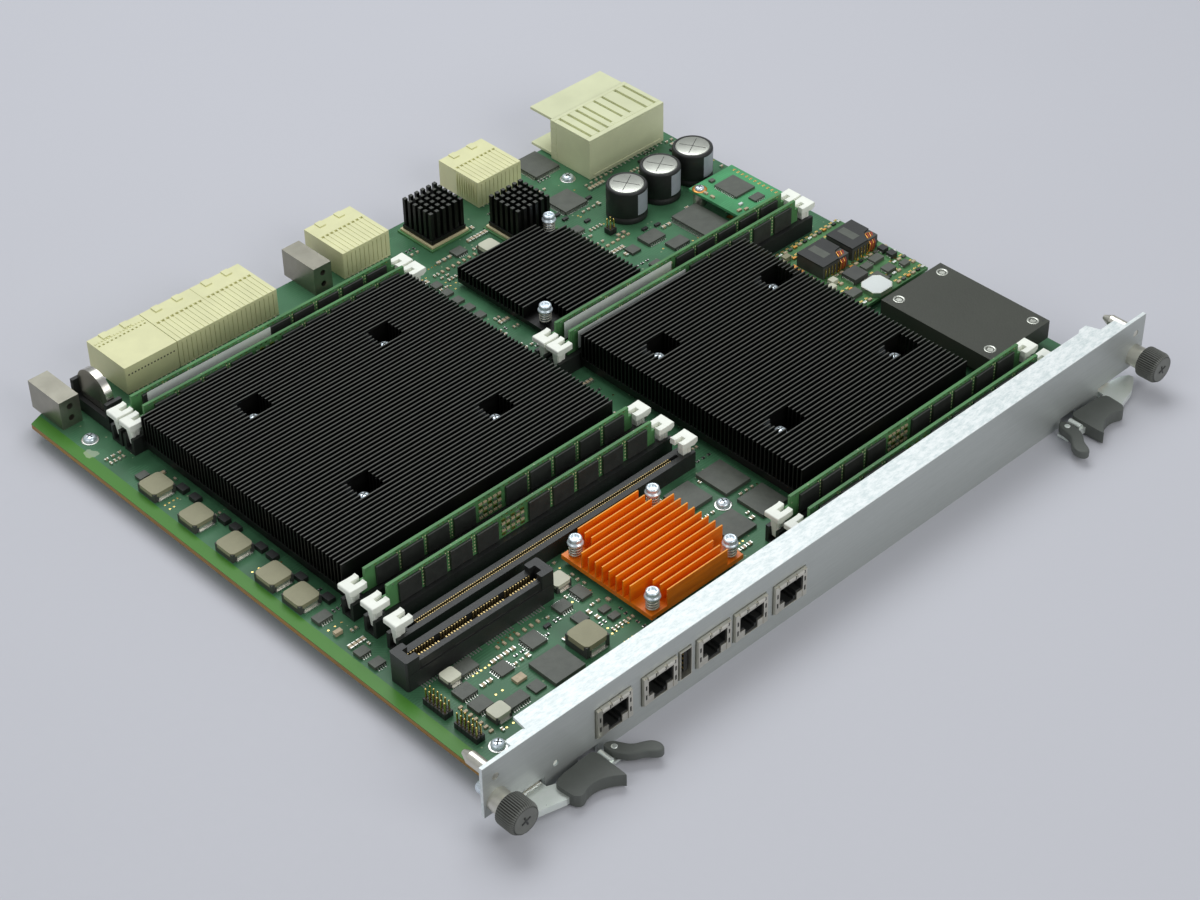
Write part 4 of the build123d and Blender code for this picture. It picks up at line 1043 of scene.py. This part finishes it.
# power connector: uneven ribs over the contacts, two lips and two rows of slots behind
power = Maker("power_connector_ribs")
PX0, PX1, PY0, PY1, PH = 271.8, 317, 246.7, 271.8, 20
DECK, BACK, SLOT_Y0, SLOT_Y1 = 18.9, PY1 - 3.8, 249.2, 269.6
power.prism([(PY0, 0), (BACK, 0), (BACK, DECK), (PY0, DECK)], PX0, PX1, "grey_cream", "x")
ribs = [(PX0, PX1, BACK, PY1, z0, z1) for z0, z1 in ((0, 4), (8, 11.4), (15.4, DECK))]
ribs += [(a, b, BACK, PY1, z0, z1) for z0, z1 in ((4, 8), (11.4, 15.4))
         for a, b in between_holes(PX0, PX1, 5.2, 2.2)]
ribs += [(PX0, PX1, PY0, SLOT_Y0, DECK, PH), (PX0, PX1, SLOT_Y1, PY1, DECK, PH)]
edge = PX0
for x, half, front in ((275.1, 0.75, 0), (280.2, 0.75, 0), (285.2, 0.75, 0), (289.5, 0.65, 2.2),
                       (296, 0.65, 2.2), (300.9, 0.65, 2.2), (308.8, 0.85, 0), (314.1, 0.75, 0)):
    ribs.append((edge, x - half, SLOT_Y0, SLOT_Y1, DECK, PH))
    if front:
        ribs.append((x - half, x + half, SLOT_Y0, SLOT_Y0 + front, DECK, PH))
    edge = x + half
ribs.append((edge, PX1, SLOT_Y0, SLOT_Y1, DECK, PH))
ribs += [(PX0 + 1.2, PX1 - 1.2, PY1 - 0.5, 286, z, z + 1.4) for z in (0.4, PH - 1.4)]
ribs.append((PX0 + 2, PX1 - 2, PY0 - 0.35, PY0 + 0.1, 1.2, 2.2))
for limits in ribs:
    power.box(*limits, "grey_cream")
for i in range(17):
    power.bar(PX0 + 2.6 + i * 2.5, 0.4, PY0 - 1.6, PY0 + 0.2, 0, 0.4, "solder")
power.done("cream_plastic", ("power_connector",), bevel=0.25)

# flash board on its post and socket
mezz = Maker("flash_board")
MX0, MX1, MZ = 289.6, 316.2, 7.2
mezz.box(MX0, MX1, 173, 204, 6, MZ, "mezz")
mezz.box(MX1 - 7.6, MX1 - 3.6, 176, 201, 0, 6.1, "black")
mezz.post(*FLASH_SCREW, 0, [(2.8, 0), (2.8, 6.05)], "nickel")
flash = (298.2, 309.8, 184, 197, 0, 1.2)
mezz.box(*flash[:4], MZ, MZ + 1.1, "chip")
leads(mezz, flash, 0.9, LEFT_RIGHT, MZ, 0.9)
mezz.box(302, 308, 176.4, 180.4, MZ, MZ + 0.9, "chip")
leads(mezz, (302, 308, 176.4, 180.4, 0, 0.9), 1, FRONT_BACK, MZ, 0.8)
for i in range(11):
    y = 175.4 + i * 2.5
    mezz.box(MX1 - 3, MX1 - 1.4, y - 0.5, y + 0.5, MZ, MZ + 0.04, "gold")
for x, y, w, d, h, key in ((292.6, 176.8, 2.2, 1.3, 0.8, "ceramic"), (296.4, 179.6, 2, 1.2, 0.8, "white"),
                           (300.6, 200.8, 2.4, 2, 0.9, "chip"), (295.4, 175.4, 2, 1.2, 0.8, "ceramic"),
                           (291.9, 192, 1.2, 2, 0.8, "ceramic"), (291.9, 196, 1.2, 2, 0.8, "ceramic")):
    mezz.block(x, y, w, d, MZ, MZ + h, key)
mezz.done("board", ("flash_mezzanine",), bevel=0.06)

# power module: red windings in the core windows, tan capacitors, small parts and a blank eight-sided label
module = Maker("power_module_parts")
PM_TOP = 4
for cx, cy in ((291.4, 128), (309.8, 128.4)):
    cover = [(cx - 7.9, cy - 7.4), (cx + 1.6, cy - 7.4), (cx + 2.6, cy - 5), (cx + 4.6, cy - 2.6),
             (cx + 7.9, cy - 2.2), (cx + 7.9, cy + 7.4), (cx - 7.9, cy + 7.4)]
    module.prism(cover, 9.8, 10.5, "black")
    module.block(cx - 0.8, cy + 1.4, 4.2, 9, 10.5, 10.53, "chip")
    for i in range(4):
        dip = 0.28 + i * 0.22
        loop = [(cx + 2.2 + i * 0.9, cy - 7.9, 4.4), (cx + 2.6 + i * 0.9, cy - 8.1, 8),
                (cx + 3 + i, cy - 6, 9.9), (cx + 4 + i, cy - 3.4 - dip, 10.1),
                (cx + 7.4, cy - 3 - i * 0.8, 9.4), (cx + 8.4, cy - 3.4 - i, 4.4)]
        module.tube(loop, 0.36, "red" if i % 2 else "copper")
    module.post(cx + 4.9, cy - 4.6, 8.2, [(2, 0), (2.2, 0.4), (2.2, 1.2), (1.6, 1.5)], "mezz", 20)
    for i in range(5):
        x = cx - 6.2 + i * 1.9
        module.tube([(x, cy - 7.5, 4), (x, cy - 7.5, 8.6)], 0.28, "gold", 6)
TALL_PARTS = [
    (294, 112.4, 8, 7.6, 2.8, "ferrite"), (283.4, 141, 3.6, 2.6, 2.2, "coil_tan"),
    (279.4, 139.4, 3.2, 2.6, 2, "coil_tan"), (284.8, 116.2, 3.4, 3, 2.2, "coil_light"),
    (281, 113.4, 3.4, 3, 2.2, "coil_light"), (280, 133.6, 3, 2.4, 2, "copper"),
    (279.6, 129.8, 3, 2.4, 2, "copper"), (284.6, 104.6, 6, 4.4, 1.8, "chip"),
    (302.6, 113.6, 4.6, 3.6, 1.6, "chip"), (309.6, 114.6, 6, 4, 1.6, "chip"),
    (316.4, 112, 3.4, 3.4, 2.2, "black"), (316.6, 117, 3.4, 3.4, 2.2, "black"),
    (308, 106.4, 5.2, 4.2, 1.6, "chip"), (315.6, 104.2, 4, 3, 1.5, "chip")]
for x, y, w, d, h, key in TALL_PARTS:
    module.block(x, y, w, d, PM_TOP, PM_TOP + h, key)
    for side in (-1, 1):
        module.block(x + side * w / 2, y, 0.7, d * 0.8, PM_TOP, PM_TOP + h * 0.45, "solder")
label = [(288.9, 98), (291.3, 95.8), (298.3, 95.8), (300.7, 98), (300.7, 104.4), (298.3, 106.6),
         (291.3, 106.6), (288.9, 104.4)]
module.prism(label, PM_TOP, PM_TOP + 2.2, "can")
LABEL_X, LABEL_Y = 294.8, 101.2
paper = [(LABEL_X + (x - LABEL_X) * 0.94, LABEL_Y + (y - LABEL_Y) * 0.94) for x, y in label]
module.prism(paper, PM_TOP + 2.2, PM_TOP + 2.26, "white")
PM_KEYS = ("ceramic", "black", "solder", "ceramic", "chip", "copper")
PM_BUSY = [part[:4] for part in TALL_PARTS]
PM_BUSY += [(291.4, 128, 17, 16), (309.8, 128.4, 17, 16), (LABEL_X, LABEL_Y, 13, 12)]
for i in range(150):
    x = 277.6 + (i % 15) * 3
    y = 97.6 + (i // 15) * 5.2
    if all(abs(x - bx) > (w + 2.2) / 2 or abs(y - by) > (d + 1.4) / 2 for bx, by, w, d in PM_BUSY):
        module.block(x, y, 1.9, 1.1, PM_TOP, PM_TOP + 0.8, PM_KEYS[(i * 7 + i // 15) % 6])
        module.block(x, y + 1.9, 1.7, 0.9, PM_TOP, PM_TOP + 0.06, "gold")
module.done("board", bevel=0.06)

# studio: a tinted surround that the camera sees as white, three soft lights, a pale floor and the camera
world = bpy.data.worlds.new("studio")
bpy.context.scene.world = world
world.use_nodes = True
sky = world.node_tree
sky.nodes.clear()
sky_out = sky.nodes.new("ShaderNodeOutputWorld")
sky_path = sky.nodes.new("ShaderNodeLightPath")
sky_mix = sky.nodes.new("ShaderNodeMixShader")
sky.links.new(sky_path.outputs["Is Camera Ray"], sky_mix.inputs[0])
for i, (color, strength) in enumerate((((0.93, 0.97, 1, 1), 0.38), ((1, 1, 1, 1), 1))):
    background = sky.nodes.new("ShaderNodeBackground")
    background.inputs[0].default_value = color
    background.inputs[1].default_value = strength
    sky.links.new(background.outputs[0], sky_mix.inputs[i + 1])
sky.links.new(sky_mix.outputs[0], sky_out.inputs[0])


def area_light(name, place, size, power, color):
    """A soft box aimed at the middle of the board."""
    data = bpy.data.lights.new(name, "AREA")
    data.shape = "RECTANGLE"
    data.size, data.size_y = size
    data.energy = power
    data.color = color
    obj = bpy.data.objects.new(name, data)
    bpy.context.scene.collection.objects.link(obj)
    obj.location = place
    obj.rotation_euler = (Vector((0, 0.14, 0)) - Vector(place)).to_track_quat("-Z", "Y").to_euler()


area_light("key_softbox", (0.35, 0.75, 1.15), (1.1, 0.8), 10.5, (0.95, 0.98, 1))
area_light("fill_softbox", (-1.1, 0.1, 0.9), (0.9, 0.9), 2.2, (1, 1, 1))
area_light("front_softbox", (0.1, -1.1, 0.8), (1, 0.7), 6, (1, 1, 0.98))

floor_mesh = bpy.data.meshes.new("floor")
floor_mesh.from_pydata([(-3, -3, 0), (3, -3, 0), (3, 3, 0), (-3, 3, 0)], [], [(0, 1, 2, 3)])
floor = bpy.data.objects.new("floor", floor_mesh)
bpy.context.scene.collection.objects.link(floor)
floor.data.materials.append(MATS["floor"])

CAMERA_PLACE = (-0.54271, -0.45154, 0.63537)
CAMERA_AXES = ((0.720393, 0.446341, -0.530861), (-0.693427, 0.44817, -0.564183),
               (-0.013902, 0.774547, 0.632364))
cam_data = bpy.data.cameras.new("photo_camera")
cam_data.lens = 78.01
cam_data.sensor_width = 36
cam_data.clip_start = 0.01
camera = bpy.data.objects.new("photo_camera", cam_data)
bpy.context.scene.collection.objects.link(camera)
camera.matrix_world = Matrix.Translation(CAMERA_PLACE) @ Matrix(CAMERA_AXES).to_4x4()
bpy.context.scene.camera = camera
bpy.context.scene.view_settings.view_transform = "Standard"
